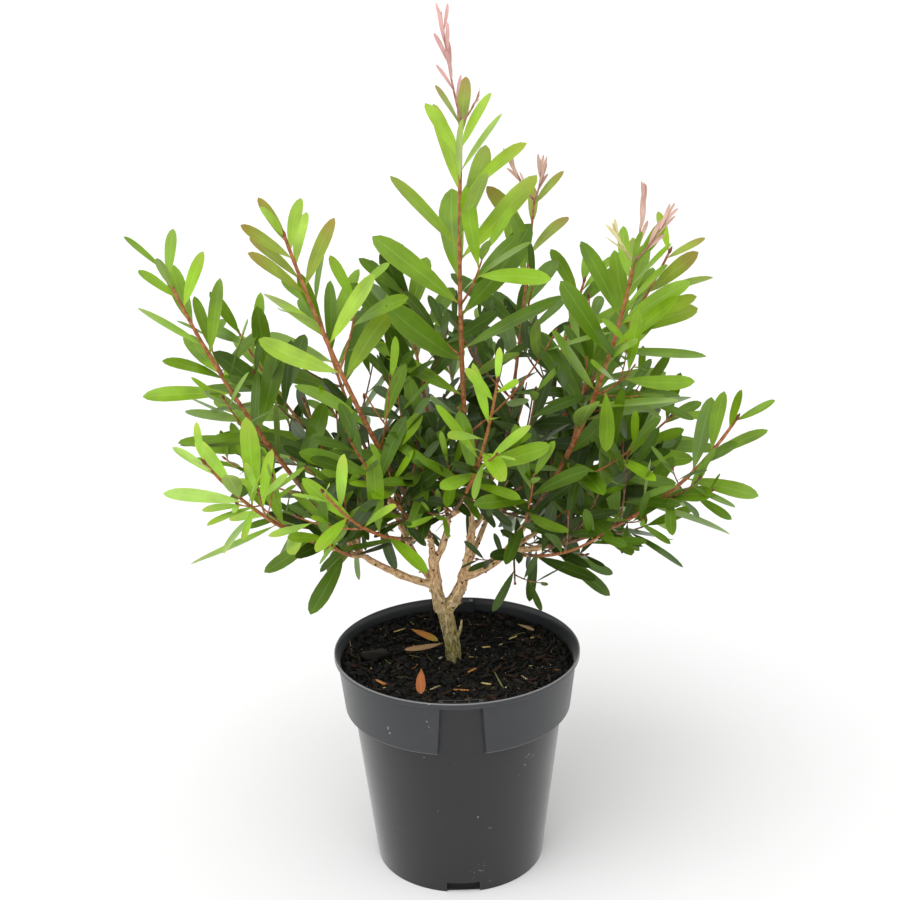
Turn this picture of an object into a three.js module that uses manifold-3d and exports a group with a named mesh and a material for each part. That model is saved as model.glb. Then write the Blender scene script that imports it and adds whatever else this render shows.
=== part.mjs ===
// Potted bottlebrush: a lance-leaved shrub in a round plastic nursery pot filled with soil.
//
// Units are millimetres and Z is up. The origin is the centre of the pot's flat underside, -Y is
// the plant's front and X runs to its right. Each limb and each mass of foliage is one closed solid,
// a gap away from what carries it. The leaves are laid along the shoots by one spiral rule.

import * as THREE from "three";
import { mergeVertices } from "three/addons/utils/BufferGeometryUtils.js";
import Module from "manifold-3d";

const wasm = await Module();
wasm.setup();

// ---------------------------------------------------------------- driving dimensions

const GAP = 0.3; // clear space between two neighbouring solids
const MERGE = 0.001; // corners nearer to each other than this are one
const FINE = 0.02; // detail smaller than this is dropped

const POT = {
  height: 208,
  wall: 1.5,
  floor: 2,
  baseRadius: 78.5,
  waistRadius: 96.5, // top of the tapering body, under the collar
  collarFootRadius: 104,
  collarHeadRadius: 109.5,
  rimRadius: 112.5,
  baseCorner: 1.5,
  rimCorner: 1,
  waist: 154, // heights above the underside
  collarFoot: 154.5,
  collarHead: 202,
  rimFoot: 203.5,
};
const ROUND_SIDES = 32; // of the pot and of the soil in it

// A label panel at the front and one at the back: a stretch of the collar set back from the rest,
// with the slot for a label between its top and the rim.
const PANEL = {
  turns: [1.5, 181.5], // degrees round the pot from the front
  headWidth: 33,
  footWidth: 40,
  setBack: 5,
  head: 201,
  slotRoof: 207.4, // height of the panel's top, inside the rim
  slotDepth: 3.2, // between the panel and the rim
  ribs: [-5, 7], // across the slot, from the panel's middle
  ribWidth: 1.2,
};

// Drainage: notches through the foot of the wall, and holes in the floor.
const NOTCH = { turns: [1.5, 91.5, 181.5, 271.5], width: 30, height: 10 };
const DRAIN = { turns: [46, 136, 226, 316], radius: 6, ring: 45, sides: 12 };

const SOIL = {
  level: 188.5, // round the trunk
  rise: 7, // how much higher it lies against the wall
  lump: 1.4,
  lumpLengths: [9, 7],
  flat: 0.4, // share of its radius that is level
  rings: [0.92, 0.7, 0.4], // shares of its radius
};

// The limbs, in the order in which they fork. A limb runs from one point to another with its middle
// pushed down and outward by `sag`, and tapers from radius `foot` to radius `tip`.
const GROUND = SOIL.level + GAP;
const LIMBS = [
  {
    name: "trunk", from: [-5, 12, 186], to: [-12.5, 14.5, 245], sag: -2, foot: 7.4, tip: 8.8,
    flare: 1.6, // added to the radius where it meets the soil
  },
  { name: "left_limb", from: [-14, 14, 238], to: [-20, 12, 291], sag: 1, foot: 6.4, tip: 4.6 },
  { name: "right_limb", from: [-10.5, 14.5, 238], to: [8, 16, 274], sag: 3, foot: 6.4, tip: 5 },
  { name: "left_outer_bough", from: [-20, 13, 264], to: [-83, -4, 301], sag: 3, foot: 3.8, tip: 2.8 },
  { name: "left_upright_bough", from: [-20, 12, 288], to: [-22, 8, 314], sag: 0, foot: 3.2, tip: 2.6 },
  { name: "left_leaning_bough", from: [-19, 12, 287], to: [-6, 12, 329], sag: 3, foot: 3.4, tip: 2.6 },
  { name: "left_rear_bough", from: [-20, 14, 264], to: [-56, 74, 312], sag: 4, foot: 3.4, tip: 2.4 },
  { name: "right_upright_bough", from: [7, 16, 270], to: [16, 20, 317], sag: 1, foot: 4.4, tip: 3.6 },
  { name: "right_outer_bough", from: [6, 16, 270], to: [46, 8, 298], sag: 3, foot: 4.8, tip: 4.2 },
  { name: "right_rear_bough", from: [15.5, 20, 314], to: [42, 48, 346], sag: 2, foot: 3, tip: 2.2 },
  { name: "rear_bough", from: [4, 18, 268], to: [32, 80, 308], sag: 4, foot: 3.4, tip: 2.4 },
];
const LIMB = { sides: 8, stretch: 14 };

// One shoot carries each mass of foliage. It leaves the tip of its bough, ends at `tip`, and bears
// `leaves` leaves about `leaf` long, the lowest at `turn` degrees round it, and `twigs` side twigs.
// `flush` lists the tips of its young sprays, which stand on the shoot's end.
const SHOOTS = [
  { name: "leader", bough: "right_upright_bough", tip: [12, 22, 677], sag: 6, green: "fresh",
    leaves: 30, leaf: 88, turn: 195, seed: 61, twigs: 4, flush: [[-3, 18, 765]] },
  { name: "left_tall", bough: "left_upright_bough", tip: [-135, -30, 595], sag: 8, green: "fresh",
    leaves: 36, leaf: 75, turn: 120, seed: 222, twigs: 3 },
  { name: "far_left", bough: "left_outer_bough", tip: [-247, 20, 562], sag: 14, green: "fresh",
    leaves: 26, leaf: 70, turn: 347, seed: 63, twigs: 4 },
  { name: "low_left", bough: "left_outer_bough", tip: [-203, -90, 420], sag: 14, green: "lime",
    leaves: 20, leaf: 66, turn: 315, seed: 4, twigs: 3 },
  { name: "front_left", bough: "left_upright_bough", tip: [-104, -125, 405], sag: 16, green: "lime",
    leaves: 11, leaf: 59, turn: 0, seed: 165, twigs: 2 },
  { name: "front_centre", bough: "left_leaning_bough", tip: [36, -115, 491], sag: 16, green: "lime",
    leaves: 19, leaf: 53, turn: 135, seed: 286, twigs: 2 },
  { name: "right_tall", bough: "right_outer_bough", tip: [153, -18, 564], sag: 16, green: "fresh",
    leaves: 34, leaf: 84, turn: 180, seed: 317, twigs: 4, flush: [[158, -22, 616], [179, -14, 598]] },
  { name: "far_right", bough: "right_outer_bough", tip: [239, -45, 436], sag: 30, green: "mature",
    leaves: 24, leaf: 69, turn: 75, seed: 258, twigs: 5 },
  { name: "right_rear_tall", bough: "right_rear_bough", tip: [197, 75, 557], sag: 12, green: "fresh",
    leaves: 35, leaf: 71, turn: 165, seed: 229, twigs: 3 },
  { name: "rear_right_tip", bough: "right_rear_bough", tip: [77, 100, 600], sag: 4, green: "fresh",
    leaves: 22, leaf: 72, turn: 0, seed: 110, twigs: 3, flush: [[83, 104, 625], [58, 104, 634]] },
  { name: "rear_left_tip", bough: "left_leaning_bough", tip: [-43, 85, 531], sag: 0, green: "mature",
    leaves: 22, leaf: 84, turn: 225, seed: 71, twigs: 4 },
  { name: "left_rear", bough: "left_upright_bough", tip: [-197, 95, 487], sag: 20, green: "mature",
    leaves: 20, leaf: 80, turn: 195, seed: 42, twigs: 4 },
  { name: "left_inner", bough: "left_outer_bough", tip: [-134, 45, 433], sag: 0, green: "mature",
    leaves: 7, leaf: 61, turn: 135, seed: 113, twigs: 3 },
  { name: "under_left", bough: "left_outer_bough", tip: [-109, -95, 356], sag: 6, green: "mature",
    leaves: 8, leaf: 60, turn: 330, seed: 204, twigs: 2 },
  { name: "under_right", bough: "right_outer_bough", tip: [121, -95, 352], sag: 10, green: "mature",
    leaves: 12, leaf: 56, turn: 240, seed: 45, twigs: 3 },
  { name: "right_inner", bough: "right_outer_bough", tip: [172, 60, 384], sag: 8, green: "mature",
    leaves: 28, leaf: 74, turn: 330, seed: 356, twigs: 4 },
  { name: "centre_inner", bough: "left_leaning_bough", tip: [56, -60, 424], sag: 6, green: "mature",
    leaves: 7, leaf: 53, turn: 165, seed: 77, twigs: 4 },
  { name: "left_middle", bough: "left_upright_bough", tip: [-86, -60, 427], sag: 6, green: "mature",
    leaves: 11, leaf: 63, turn: 60, seed: 78, twigs: 4 },
  { name: "rear_left_tall", bough: "left_rear_bough", tip: [-131, 165, 499], sag: 10, green: "mature",
    leaves: 26, leaf: 84, turn: 120, seed: 299, twigs: 4 },
  { name: "rear_far_left", bough: "left_rear_bough", tip: [-209, 130, 410], sag: 16, green: "mature",
    leaves: 20, leaf: 80, turn: 330, seed: 180, twigs: 4 },
  { name: "rear_low_left", bough: "left_rear_bough", tip: [-127, 190, 307], sag: 16, green: "mature",
    leaves: 26, leaf: 71, turn: 45, seed: 51, twigs: 4 },
  { name: "rear_right_tall", bough: "rear_bough", tip: [129, 165, 514], sag: 10, green: "mature",
    leaves: 22, leaf: 84, turn: 90, seed: 82, twigs: 4 },
  { name: "rear_far_right", bough: "rear_bough", tip: [212, 130, 387], sag: 16, green: "mature",
    leaves: 28, leaf: 80, turn: 225, seed: 273, twigs: 4 },
  { name: "rear_low_right", bough: "rear_bough", tip: [139, 190, 312], sag: 16, green: "mature",
    leaves: 22, leaf: 80, turn: 90, seed: 84, twigs: 4 },
  { name: "rear_centre", bough: "rear_bough", tip: [-4, 210, 426], sag: 10, green: "mature",
    leaves: 28, leaf: 84, turn: 150, seed: 335, twigs: 4 },
];
const STEM = { radius: 1.9, taper: 0.5, sides: 3, steps: 5 };

// How leaves are laid along a stem. Angles are in degrees. A pair gives the value at the lowest leaf
// and at the tip, and each jitter is the full width of a random change.
const LEAVES = {
  goldenAngle: 137.5,
  crowding: 0.9, // under 1, leaves stand closer towards the foot
  first: 0.16, // how far along the stem the lowest leaf stands
  spread: [72, 32], // between leaf and stem
  spreadJitter: 18,
  angleJitter: 28,
  roll: 63, // how far a blade turns out of the light
  fullness: [0.78, 0.34], // size at the foot, and how much is added where the leaves are largest
  fullest: 1.15, // over 1, the largest leaves stand nearer the foot
  shortFrom: 0.8, // how far along the leaves begin to shorten towards the tip
  shortBy: 1.5,
  sizeJitter: 0.2,
  slimness: 0.195, // width for each millimetre of length
  slimJitter: 0.15,
  thickness: 0.012, // for each millimetre of length
  sunk: 0.4, // how far past the stem's middle its root reaches, as a share of the stem's radius
  lead: 0.08, // how far past its middle a leaf is widest
  halfWidth: 0.64, // of the lens, wider than life because the crown has fewer leaves
};
const TWIGS = {
  first: 0.08,
  range: 0.5, // the share of the stem that bears twigs
  shift: 0.06,
  spread: 50,
  spreadJitter: 20,
  angleJitter: 86,
  lift: 0.25,
  length: [0.34, 0.22], // share of the stem's length, for the lowest twig and the highest
  lengthJitter: 0.4,
  extra: 12,
  sag: 0.06,
  radius: [0.55, 0.35], // share of the stem's radius, at the twig's foot and tip
  sides: 3,
  steps: 2,
  leaf: 0.74, // share of the shoot's leaf length
  leafEvery: 17,
  fewestLeaves: 3,
  firstLeaf: 0.15,
};
const FLUSH = {
  radius: [0.9, 0.5],
  leaf: 26,
  leafEvery: 9,
  fewestLeaves: 6,
  spread: [26, 10],
  first: 0.1,
  sag: 2,
};
// Which of the repeatable numbers a choice draws, so that no two choices draw the same.
const DRAW = { perLeaf: 7, twigs: 900, perTwigFeature: 10, queue: 3000, twigSeed: 31, spraySeed: 57 };

// The solids have room for fewer leaves than the plant bears. Those near the crown's outline are
// the likeliest to be kept.
const CROWN = {
  heart: new THREE.Vector3(0, 30, 400),
  reach: new THREE.Vector3(270, 220, 300), // its half width, depth and height
  leaves: 492,
  favour: 1.4, // over a leaf's chance
  bias: 0.3, // of the queue towards the crown's outline
};
const LIGHT = new THREE.Vector3(-0.15, -0.6, 0.8).normalize(); // the way that the blades turn

// ---------------------------------------------------------------- helpers

const UP = new THREE.Vector3(0, 0, 1);
const REARWARD = new THREE.Vector3(0, 1, 0);
const radians = THREE.MathUtils.degToRad;
const mix = THREE.MathUtils.lerp;
const point = (xyz) => new THREE.Vector3(...xyz);
const count = (n) => Array.from({ length: n }, (_, i) => i);
const surface = (color, roughness) =>
  new THREE.MeshStandardMaterial({ color, roughness, metalness: 0 });

// A repeatable number from 0 to 1, for feature k of the stem with this seed.
function chance(seed, k) {
  const s = Math.sin(seed * 12.9898 + k * 78.233) * 43758.5453;
  return s - Math.floor(s);
}

// A line from one point to another, its middle pushed down and outward by `sag`.
function centreLine(from, to, sag) {
  const chord = to.clone().sub(from).normalize();
  const down = chord.clone().multiplyScalar(chord.dot(UP)).sub(UP).normalize();
  const control = from.clone().lerp(to, 0.5).addScaledVector(down, 2 * sag);
  return new THREE.QuadraticBezierCurve3(from, control, to);
}

// The direction square to a tangent, at an angle round it.
function across(tangent, angle) {
  const side = REARWARD.clone().cross(tangent).normalize();
  const other = tangent.clone().cross(side);
  return side.multiplyScalar(Math.cos(angle)).addScaledVector(other, Math.sin(angle));
}

// The direction that leaves a stem at an angle round it and a spread from it.
function branching(tangent, angle, spread) {
  const out = across(tangent, angle).multiplyScalar(Math.sin(spread));
  return out.addScaledVector(tangent, Math.cos(spread));
}

// Moves each vertex of a geometry to where `place(x, y, z)` puts it.
function reshape(geometry, place) {
  const position = geometry.getAttribute("position");
  for (let i = 0; i < position.count; i++) {
    const p = place(position.getX(i), position.getY(i), position.getZ(i));
    position.setXYZ(i, p.x, p.y, p.z);
  }
  return geometry;
}

function solidOf(geometry) {
  geometry.deleteAttribute("normal");
  geometry.deleteAttribute("uv");
  const closed = mergeVertices(geometry, MERGE);
  return new wasm.Manifold(
    new wasm.Mesh({
      numProp: 3,
      vertProperties: closed.getAttribute("position").array,
      triVerts: new Uint32Array(closed.index.array),
    }),
  );
}

function geometryOf(solid) {
  const { vertProperties, triVerts } = solid.getMesh();
  const geometry = new THREE.BufferGeometry();
  geometry.setAttribute("position", new THREE.BufferAttribute(vertProperties.slice(), 3));
  geometry.setIndex(new THREE.BufferAttribute(triVerts.slice(), 1));
  return geometry;
}

function meshOf(name, solid, material) {
  const geometry = geometryOf(solid);
  geometry.computeVertexNormals();
  const mesh = new THREE.Mesh(geometry, material);
  mesh.name = name;
  return mesh;
}

// ---------------------------------------------------------------- pot and soil

// A solid of revolution from a profile of [radius, height] points.
function turned(profile) {
  const points = profile.map(([radius, height]) => new THREE.Vector2(radius, height));
  return solidOf(new THREE.LatheGeometry(points, ROUND_SIDES).rotateX(Math.PI / 2));
}

// The outer radius of the collar, or of its inner face, at a height.
function collarRadius(z, inset = 0) {
  const t = (z - POT.collarFoot) / (POT.collarHead - POT.collarFoot);
  return mix(POT.collarFootRadius, POT.collarHeadRadius, t) - inset;
}

// A ring that follows the collar's slope between two insets from its outer face.
function collarRing(inset, outset, foot, head) {
  const corners = [
    [collarRadius(foot, inset), foot],
    [collarRadius(foot, outset), foot],
    [collarRadius(head, outset), head],
    [collarRadius(head, inset), head],
  ];
  return turned([...corners, corners[0]]);
}

// A block in front of the axis whose width changes evenly from the panel's foot to its head,
// widened by `margin` on each side, and turned round the pot.
function panelWedge(margin, turn) {
  const foot = PANEL.footWidth / 2 + margin;
  const head = PANEL.headWidth / 2 + margin;
  const outline = new THREE.Shape([
    new THREE.Vector2(-foot, POT.collarFoot),
    new THREE.Vector2(foot, POT.collarFoot),
    new THREE.Vector2(head, POT.height),
    new THREE.Vector2(-head, POT.height),
  ]);
  const block = new THREE.ExtrudeGeometry(outline, { depth: POT.rimRadius * 2, bevelEnabled: false });
  return solidOf(block.rotateX(Math.PI / 2).rotateZ(radians(turn)));
}

// A box with its middle at a distance in front of the axis and at a height, turned round the pot.
function boxInFront(size, distance, height, turn, aside = 0) {
  const box = new THREE.BoxGeometry(...size).translate(aside, -distance, height);
  return solidOf(box.rotateZ(radians(turn)));
}

// The panel's wall and sides, which stand inside the collar. `swell` thickens them by that much.
function panelBoss(turn, swell = 0) {
  const back = PANEL.setBack + POT.wall + swell;
  const ring = collarRing(back, POT.wall / 2, POT.collarFoot - swell, PANEL.slotRoof + swell);
  return ring.intersect(panelWedge(POT.wall + swell, turn));
}

// What is cut away in front of the panel, and the label slot above that.
function panelRecess(turn) {
  const face = collarRing(PANEL.setBack, -POT.rimRadius, POT.collarFoot - 1, PANEL.head);
  const inner = PANEL.setBack - PANEL.slotDepth;
  const slot = collarRing(PANEL.setBack, inner, PANEL.head - 1, POT.height + 1);
  const ribs = PANEL.ribs.map((x) => {
    const size = [PANEL.ribWidth, 2 * PANEL.setBack, POT.height - PANEL.head];
    return boxInFront(size, collarRadius(PANEL.head), (POT.height + PANEL.head) / 2, turn, x);
  });
  const open = slot.subtract(wasm.Manifold.union(ribs)).add(face);
  return open.intersect(panelWedge(0, turn));
}

function drainHole(turn) {
  const hole = new THREE.CylinderGeometry(DRAIN.radius, DRAIN.radius, 4 * POT.floor, DRAIN.sides);
  const placed = hole.rotateX(Math.PI / 2).translate(0, -DRAIN.ring, 0).rotateZ(radians(turn));
  return solidOf(placed);
}

function potSolid() {
  const { wall, rimRadius, height, rimCorner } = POT;
  const shell = turned([
    [0, 0],
    [POT.baseRadius - POT.baseCorner, 0],
    [POT.baseRadius, POT.baseCorner],
    [POT.waistRadius, POT.waist],
    [POT.collarFootRadius - rimCorner, POT.collarFoot],
    [collarRadius(POT.collarFoot + rimCorner), POT.collarFoot + rimCorner],
    [POT.collarHeadRadius, POT.collarHead],
    [rimRadius, POT.rimFoot],
    [rimRadius, height - rimCorner],
    [rimRadius - rimCorner, height],
    [POT.collarHeadRadius - wall + rimCorner, height],
    [POT.collarHeadRadius - wall, POT.collarHead],
    [POT.collarFootRadius - wall, POT.collarFoot + wall],
    [POT.waistRadius - wall, POT.collarFoot + wall],
    [POT.baseRadius - wall, POT.floor],
    [0, POT.floor],
  ]);
  const notch = [NOTCH.width, 4 * POT.baseCorner, NOTCH.height * 2];
  const cuts = [
    ...PANEL.turns.map((turn) => panelRecess(turn)),
    ...NOTCH.turns.map((turn) => boxInFront(notch, POT.baseRadius, 0, turn)),
    ...DRAIN.turns.map(drainHole),
  ];
  const bosses = PANEL.turns.map((turn) => panelBoss(turn));
  return wasm.Manifold.union([shell, ...bosses]).subtract(wasm.Manifold.union(cuts));
}

// The soil fills the pot, lies higher along the wall, and is level round the trunk's foot.
function soilSolid() {
  const gap = GAP / Math.cos(Math.PI / ROUND_SIDES);
  const shoulder = POT.collarFoot + POT.wall + gap;
  const edge = SOIL.level + SOIL.rise;
  const topRadius = collarRadius(edge, POT.wall + gap);
  const mound = (share) => SOIL.level + SOIL.rise * THREE.MathUtils.smoothstep(share, SOIL.flat, 1);
  const solid = turned([
    [0, POT.floor + gap],
    [POT.baseRadius - POT.wall - gap, POT.floor + gap],
    [POT.waistRadius - POT.wall - gap, shoulder],
    [collarRadius(shoulder, POT.wall + gap), shoulder],
    [topRadius, edge],
    ...SOIL.rings.map((share) => [topRadius * share, mound(share)]),
    [0, SOIL.level],
  ]);
  const lumpy = solid.warp((v) => {
    const [x, y] = v.map((value, i) => value / SOIL.lumpLengths[i]);
    const rough = Math.hypot(v[0], v[1]) > topRadius * (SOIL.flat + 0.05);
    if (rough && v[2] > shoulder + 1) v[2] += SOIL.lump * Math.sin(x) * Math.cos(y);
  });
  return lumpy.subtract(wasm.Manifold.union(PANEL.turns.map((turn) => panelBoss(turn, gap))));
}

// ---------------------------------------------------------------- clear space

// A convex piece is kept as its corners, with the ball that holds them.
function piece(corners) {
  const ball = new THREE.Sphere().setFromPoints(corners);
  return { corners, centre: ball.center, reach: ball.radius };
}

function furthest(corners, direction) {
  return corners.reduce((a, b) => (b.dot(direction) > a.dot(direction) ? b : a));
}

// True once a plane is found that parts two convex pieces by the gap. The vector between them is
// walked towards their closest approach, and a pair with no such plane counts as touching.
function apart(a, b) {
  if (a.centre.distanceTo(b.centre) > a.reach + b.reach + GAP) return true;
  const between = a.centre.clone().sub(b.centre);
  for (let step = 0; step < 40; step++) {
    const near = furthest(a.corners, between.clone().negate()).clone();
    const nearest = near.sub(furthest(b.corners, between));
    if (nearest.dot(between) >= GAP * between.length()) return true;
    const move = nearest.sub(between);
    const share = -between.dot(move) / move.lengthSq();
    if (!(share > 0)) return false;
    between.addScaledVector(move, Math.min(1, share));
  }
  return false;
}

// ---------------------------------------------------------------- limbs, stems and twigs

// A closed tapered rod round a curve, its radius a function of the way along.
function rod(curve, radiusAt, sides, steps) {
  return reshape(new THREE.CylinderGeometry(1, 1, 1, sides, steps), (x, y, z) => {
    const t = THREE.MathUtils.clamp(y + 0.5, 0, 1);
    const out = across(curve.getTangent(t), Math.atan2(-z, x));
    return curve.getPoint(t).addScaledVector(out, Math.hypot(x, z) * radiusAt(t));
  });
}

// The rod's straight stretches, each a convex piece between two of its rings.
function stretches(curve, radiusAt, sides, steps) {
  const rings = count(steps + 1).map((i) =>
    count(sides).map((k) => {
      const out = across(curve.getTangent(i / steps), (2 * Math.PI * k) / sides - Math.PI / 2);
      return curve.getPoint(i / steps).addScaledVector(out, radiusAt(i / steps));
    }),
  );
  return rings.slice(1).map((ring, i) => piece([...rings[i], ...ring]));
}

// A limb's solid. With `swell` it is the space that the limb and a gap round it take up.
function limbSolid(limb, swell = 0) {
  const curve = limb.curve.clone();
  curve.v2.addScaledVector(limb.curve.getTangent(1), swell);
  const skin = swell / Math.cos(Math.PI / LIMB.sides);
  const whole = solidOf(rod(curve, (t) => limb.radiusAt(t) + skin, LIMB.sides, limb.steps));
  return limb.flare ? whole.trimByPlane([0, 0, 1], GROUND - swell) : whole;
}

function grownLimb(row) {
  const curve = centreLine(point(row.from), point(row.to), row.sag);
  const radiusAt = (t) => mix(row.foot, row.tip, t) + (row.flare ?? 0) * (1 - t) ** 4;
  const steps = Math.max(2, Math.round(curve.getLength() / LIMB.stretch));
  return { ...row, curve, radiusAt, steps };
}

// A stem or twig of a mass: its curve, its taper, its solid and its convex pieces.
function stem(curve, [foot, tip], sides, steps) {
  const radiusAt = (t) => mix(foot, tip, t);
  const skin = GAP / Math.cos(Math.PI / sides);
  return {
    curve,
    radiusAt,
    solid: () => solidOf(rod(curve, radiusAt, sides, steps)),
    swollen: () => solidOf(rod(curve, (t) => radiusAt(t) + skin, sides, steps)),
    pieces: stretches(curve, radiusAt, sides, steps),
  };
}

// The twigs of a shoot stand round its lower half in the leaves' own spiral.
function twigsOf(shoot) {
  const { curve: bearer } = shoot.main;
  const length = bearer.getLength();
  return count(shoot.twigs).map((k) => {
    const share = k / Math.max(1, shoot.twigs - 1);
    const draw = (feature) => DRAW.twigs + DRAW.perTwigFeature * feature + k;
    const jitter = (feature) => chance(shoot.seed, draw(feature)) - 0.5;
    const t = TWIGS.first + TWIGS.range * share + TWIGS.shift * jitter(0);
    const angle = shoot.turn + k * LEAVES.goldenAngle + TWIGS.angleJitter * (jitter(1) + 0.5);
    const spread = TWIGS.spread + TWIGS.spreadJitter * jitter(2);
    const tangent = bearer.getTangent(t);
    const out = branching(tangent, radians(angle), radians(spread));
    const way = out.addScaledVector(UP, TWIGS.lift).normalize();
    const size = mix(...TWIGS.length, share) * (1 + TWIGS.lengthJitter * jitter(3));
    const reach = length * size + TWIGS.extra;
    const foot = bearer.getPoint(t);
    const curve = centreLine(foot, foot.clone().addScaledVector(way, reach), TWIGS.sag * reach);
    const radii = TWIGS.radius.map((part) => part * STEM.radius);
    const seed = shoot.seed * DRAW.twigSeed + k;
    return { ...stem(curve, radii, TWIGS.sides, TWIGS.steps), reach, angle, seed };
  });
}

// ---------------------------------------------------------------- leaves

// The leaves along a stem, from the foot to the tip. Each is a root, two directions across the
// blade and one along it, a length and a width.
function leavesAlong(bearer, plan) {
  return count(plan.leaves).map((i) => {
    const share = ((i + 0.5) / plan.leaves) ** LEAVES.crowding;
    const t = plan.first + (1 - plan.first) * share;
    const jitter = (feature) => chance(plan.seed, DRAW.perLeaf * i + feature) - 0.5;
    const spread = mix(...plan.spread, share) + LEAVES.spreadJitter * jitter(1);
    const angle = plan.turn + i * LEAVES.goldenAngle + LEAVES.angleJitter * jitter(3);
    const swell = Math.sin(Math.PI * Math.min(1, LEAVES.fullest * share));
    const fullness = LEAVES.fullness[0] + LEAVES.fullness[1] * swell;
    const shortening = 1 - LEAVES.shortBy * Math.max(0, share - LEAVES.shortFrom);
    const length = plan.leaf * fullness * shortening * (1 + LEAVES.sizeJitter * jitter(2));
    const along = branching(bearer.curve.getTangent(t), radians(angle), radians(spread));
    const face = LIGHT.clone().addScaledVector(along, -along.dot(LIGHT)).normalize();
    face.applyAxisAngle(along, -radians(LEAVES.roll) * jitter(5));
    return {
      bearer,
      root: bearer.curve.getPoint(t).addScaledVector(along, -LEAVES.sunk * bearer.radiusAt(t)),
      along,
      face,
      side: face.clone().cross(along),
      length,
      width: length * LEAVES.slimness * (1 + LEAVES.slimJitter * jitter(4)),
    };
  });
}

// A leaf is a thin lens of eight faces, widest towards its tip: a flattened sphere of four sides.
function leafGeometry(leaf) {
  return reshape(new THREE.SphereGeometry(1, 4, 2), (x, y, z) => {
    const reach = (1 + x) / 2 + LEAVES.lead * (1 - x * x);
    return leaf.root
      .clone()
      .addScaledVector(leaf.along, reach * leaf.length)
      .addScaledVector(leaf.face, (y * LEAVES.thickness * leaf.length) / 2)
      .addScaledVector(leaf.side, -z * leaf.width * LEAVES.halfWidth);
  });
}

function leafPiece(leaf) {
  const corners = leafGeometry(leaf).getAttribute("position");
  return piece(count(corners.count).map((i) => new THREE.Vector3().fromBufferAttribute(corners, i)));
}

// ---------------------------------------------------------------- growth

const limbs = LIMBS.map(grownLimb);
const taken = limbs.flatMap((limb) => stretches(limb.curve, limb.radiusAt, LIMB.sides, limb.steps));

// True when pieces keep clear of all that is in place, but for what `mayTouch` allows.
function clear(pieces, mayTouch) {
  return pieces.every((p) => taken.every((other) => mayTouch(other) || apart(p, other)));
}

function take(pieces, owner, kind) {
  taken.push(...pieces.map((p) => ({ ...p, owner, kind })));
}

// Each shoot starts as a stem on the tip of its bough, and some end in young sprays.
const shoots = SHOOTS.map((row) => {
  const bough = limbs.find((limb) => limb.name === row.bough);
  const tip = point(row.tip);
  const radii = [STEM.radius, STEM.radius * STEM.taper];
  const main = stem(centreLine(point(bough.to), tip, row.sag), radii, STEM.sides, STEM.steps);
  const sprays = (row.flush ?? []).map((end) =>
    stem(centreLine(tip, point(end), FLUSH.sag), FLUSH.radius, TWIGS.sides, TWIGS.steps),
  );
  const wood = [main, ...sprays];
  take(wood.flatMap((part) => part.pieces), row.name, "wood");
  return { ...row, bough, main, sprays, wood, foliage: [] };
});

// Then the side twigs. One that would touch a limb or leave its mass's own space is skipped.
for (const shoot of shoots) {
  const own = (other) => other.owner === shoot.name;
  shoot.sideTwigs = twigsOf(shoot).filter((twig) => clear(twig.pieces, own));
  take(shoot.sideTwigs.flatMap((twig) => twig.pieces), shoot.name, "wood");
}

// The leaves that a shoot would bear, on its stem, its young sprays and its side twigs.
function leavesOf(shoot) {
  const { turn, leaf, leaves, seed } = shoot;
  const plan = { ...LEAVES, turn, leaf, leaves, seed };
  const onSprays = shoot.sprays.map((spray, k) => {
    const enough = Math.floor(spray.curve.getLength() / FLUSH.leafEvery);
    const start = { turn: 0, seed: DRAW.spraySeed * seed + k };
    const few = { leaves: Math.max(FLUSH.fewestLeaves, enough) };
    return leavesAlong(spray, { ...plan, ...FLUSH, ...start, ...few });
  });
  const onTwigs = shoot.sideTwigs.map((twig) => {
    const enough = Math.floor(twig.reach / TWIGS.leafEvery);
    const start = { first: TWIGS.firstLeaf, turn: twig.angle, seed: twig.seed };
    const few = { leaves: Math.max(TWIGS.fewestLeaves, enough), leaf: leaf * TWIGS.leaf };
    return leavesAlong(twig, { ...plan, ...start, ...few });
  });
  const all = [...onSprays, leavesAlong(shoot.main, plan), ...onTwigs].flat();
  return queued(all.map((each) => ({ ...each, shoot })));
}

// How far out in the crown a leaf's tip lies, 1 being its outline, give or take a chance.
function outness(leaf, i) {
  const tip = leaf.root.clone().addScaledVector(leaf.along, leaf.length);
  const out = tip.sub(CROWN.heart).divide(CROWN.reach).length();
  return CROWN.favour * out + chance(leaf.shoot.seed, DRAW.queue + i);
}

// A mass's leaves with their places in the queue: its outermost first, and every mass alike.
function queued(leaves) {
  const order = leaves.map((leaf, i) => ({ leaf, out: outness(leaf, i) })).sort((a, b) => b.out - a.out);
  return order.map(({ leaf, out }, i) => ({ ...leaf, place: i / order.length - CROWN.bias * out }));
}

// The leaves take their places in turn, as many as the solids have room for. A leaf that would
// touch a limb, another leaf or another mass's wood is skipped.
const buds = shoots.flatMap(leavesOf).sort((a, b) => a.place - b.place);
let placed = 0;
for (const leaf of buds) {
  const blade = leafPiece(leaf);
  const ownWood = (other) => other.owner === leaf.shoot.name && other.kind === "wood";
  if (placed === CROWN.leaves || !clear([blade], ownWood)) continue;
  leaf.shoot.foliage.push(leaf);
  take([blade], leaf.shoot.name, "leaf");
  placed += 1;
}

// The biggest of a solid's bodies: a cut can leave a loose scrap, or one that hangs by a corner.
function wholeOf(solid) {
  const bodies = solidOf(geometryOf(solid.simplify(FINE))).decompose();
  return bodies.reduce((a, b) => (b.volume() > a.volume() ? b : a));
}

// A limb or a mass is cut back by the gap from the limbs and stems that were there before it.
function seated(solid, earlier) {
  return wholeOf(earlier.length ? solid.subtract(wasm.Manifold.union(earlier)) : solid);
}

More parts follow.
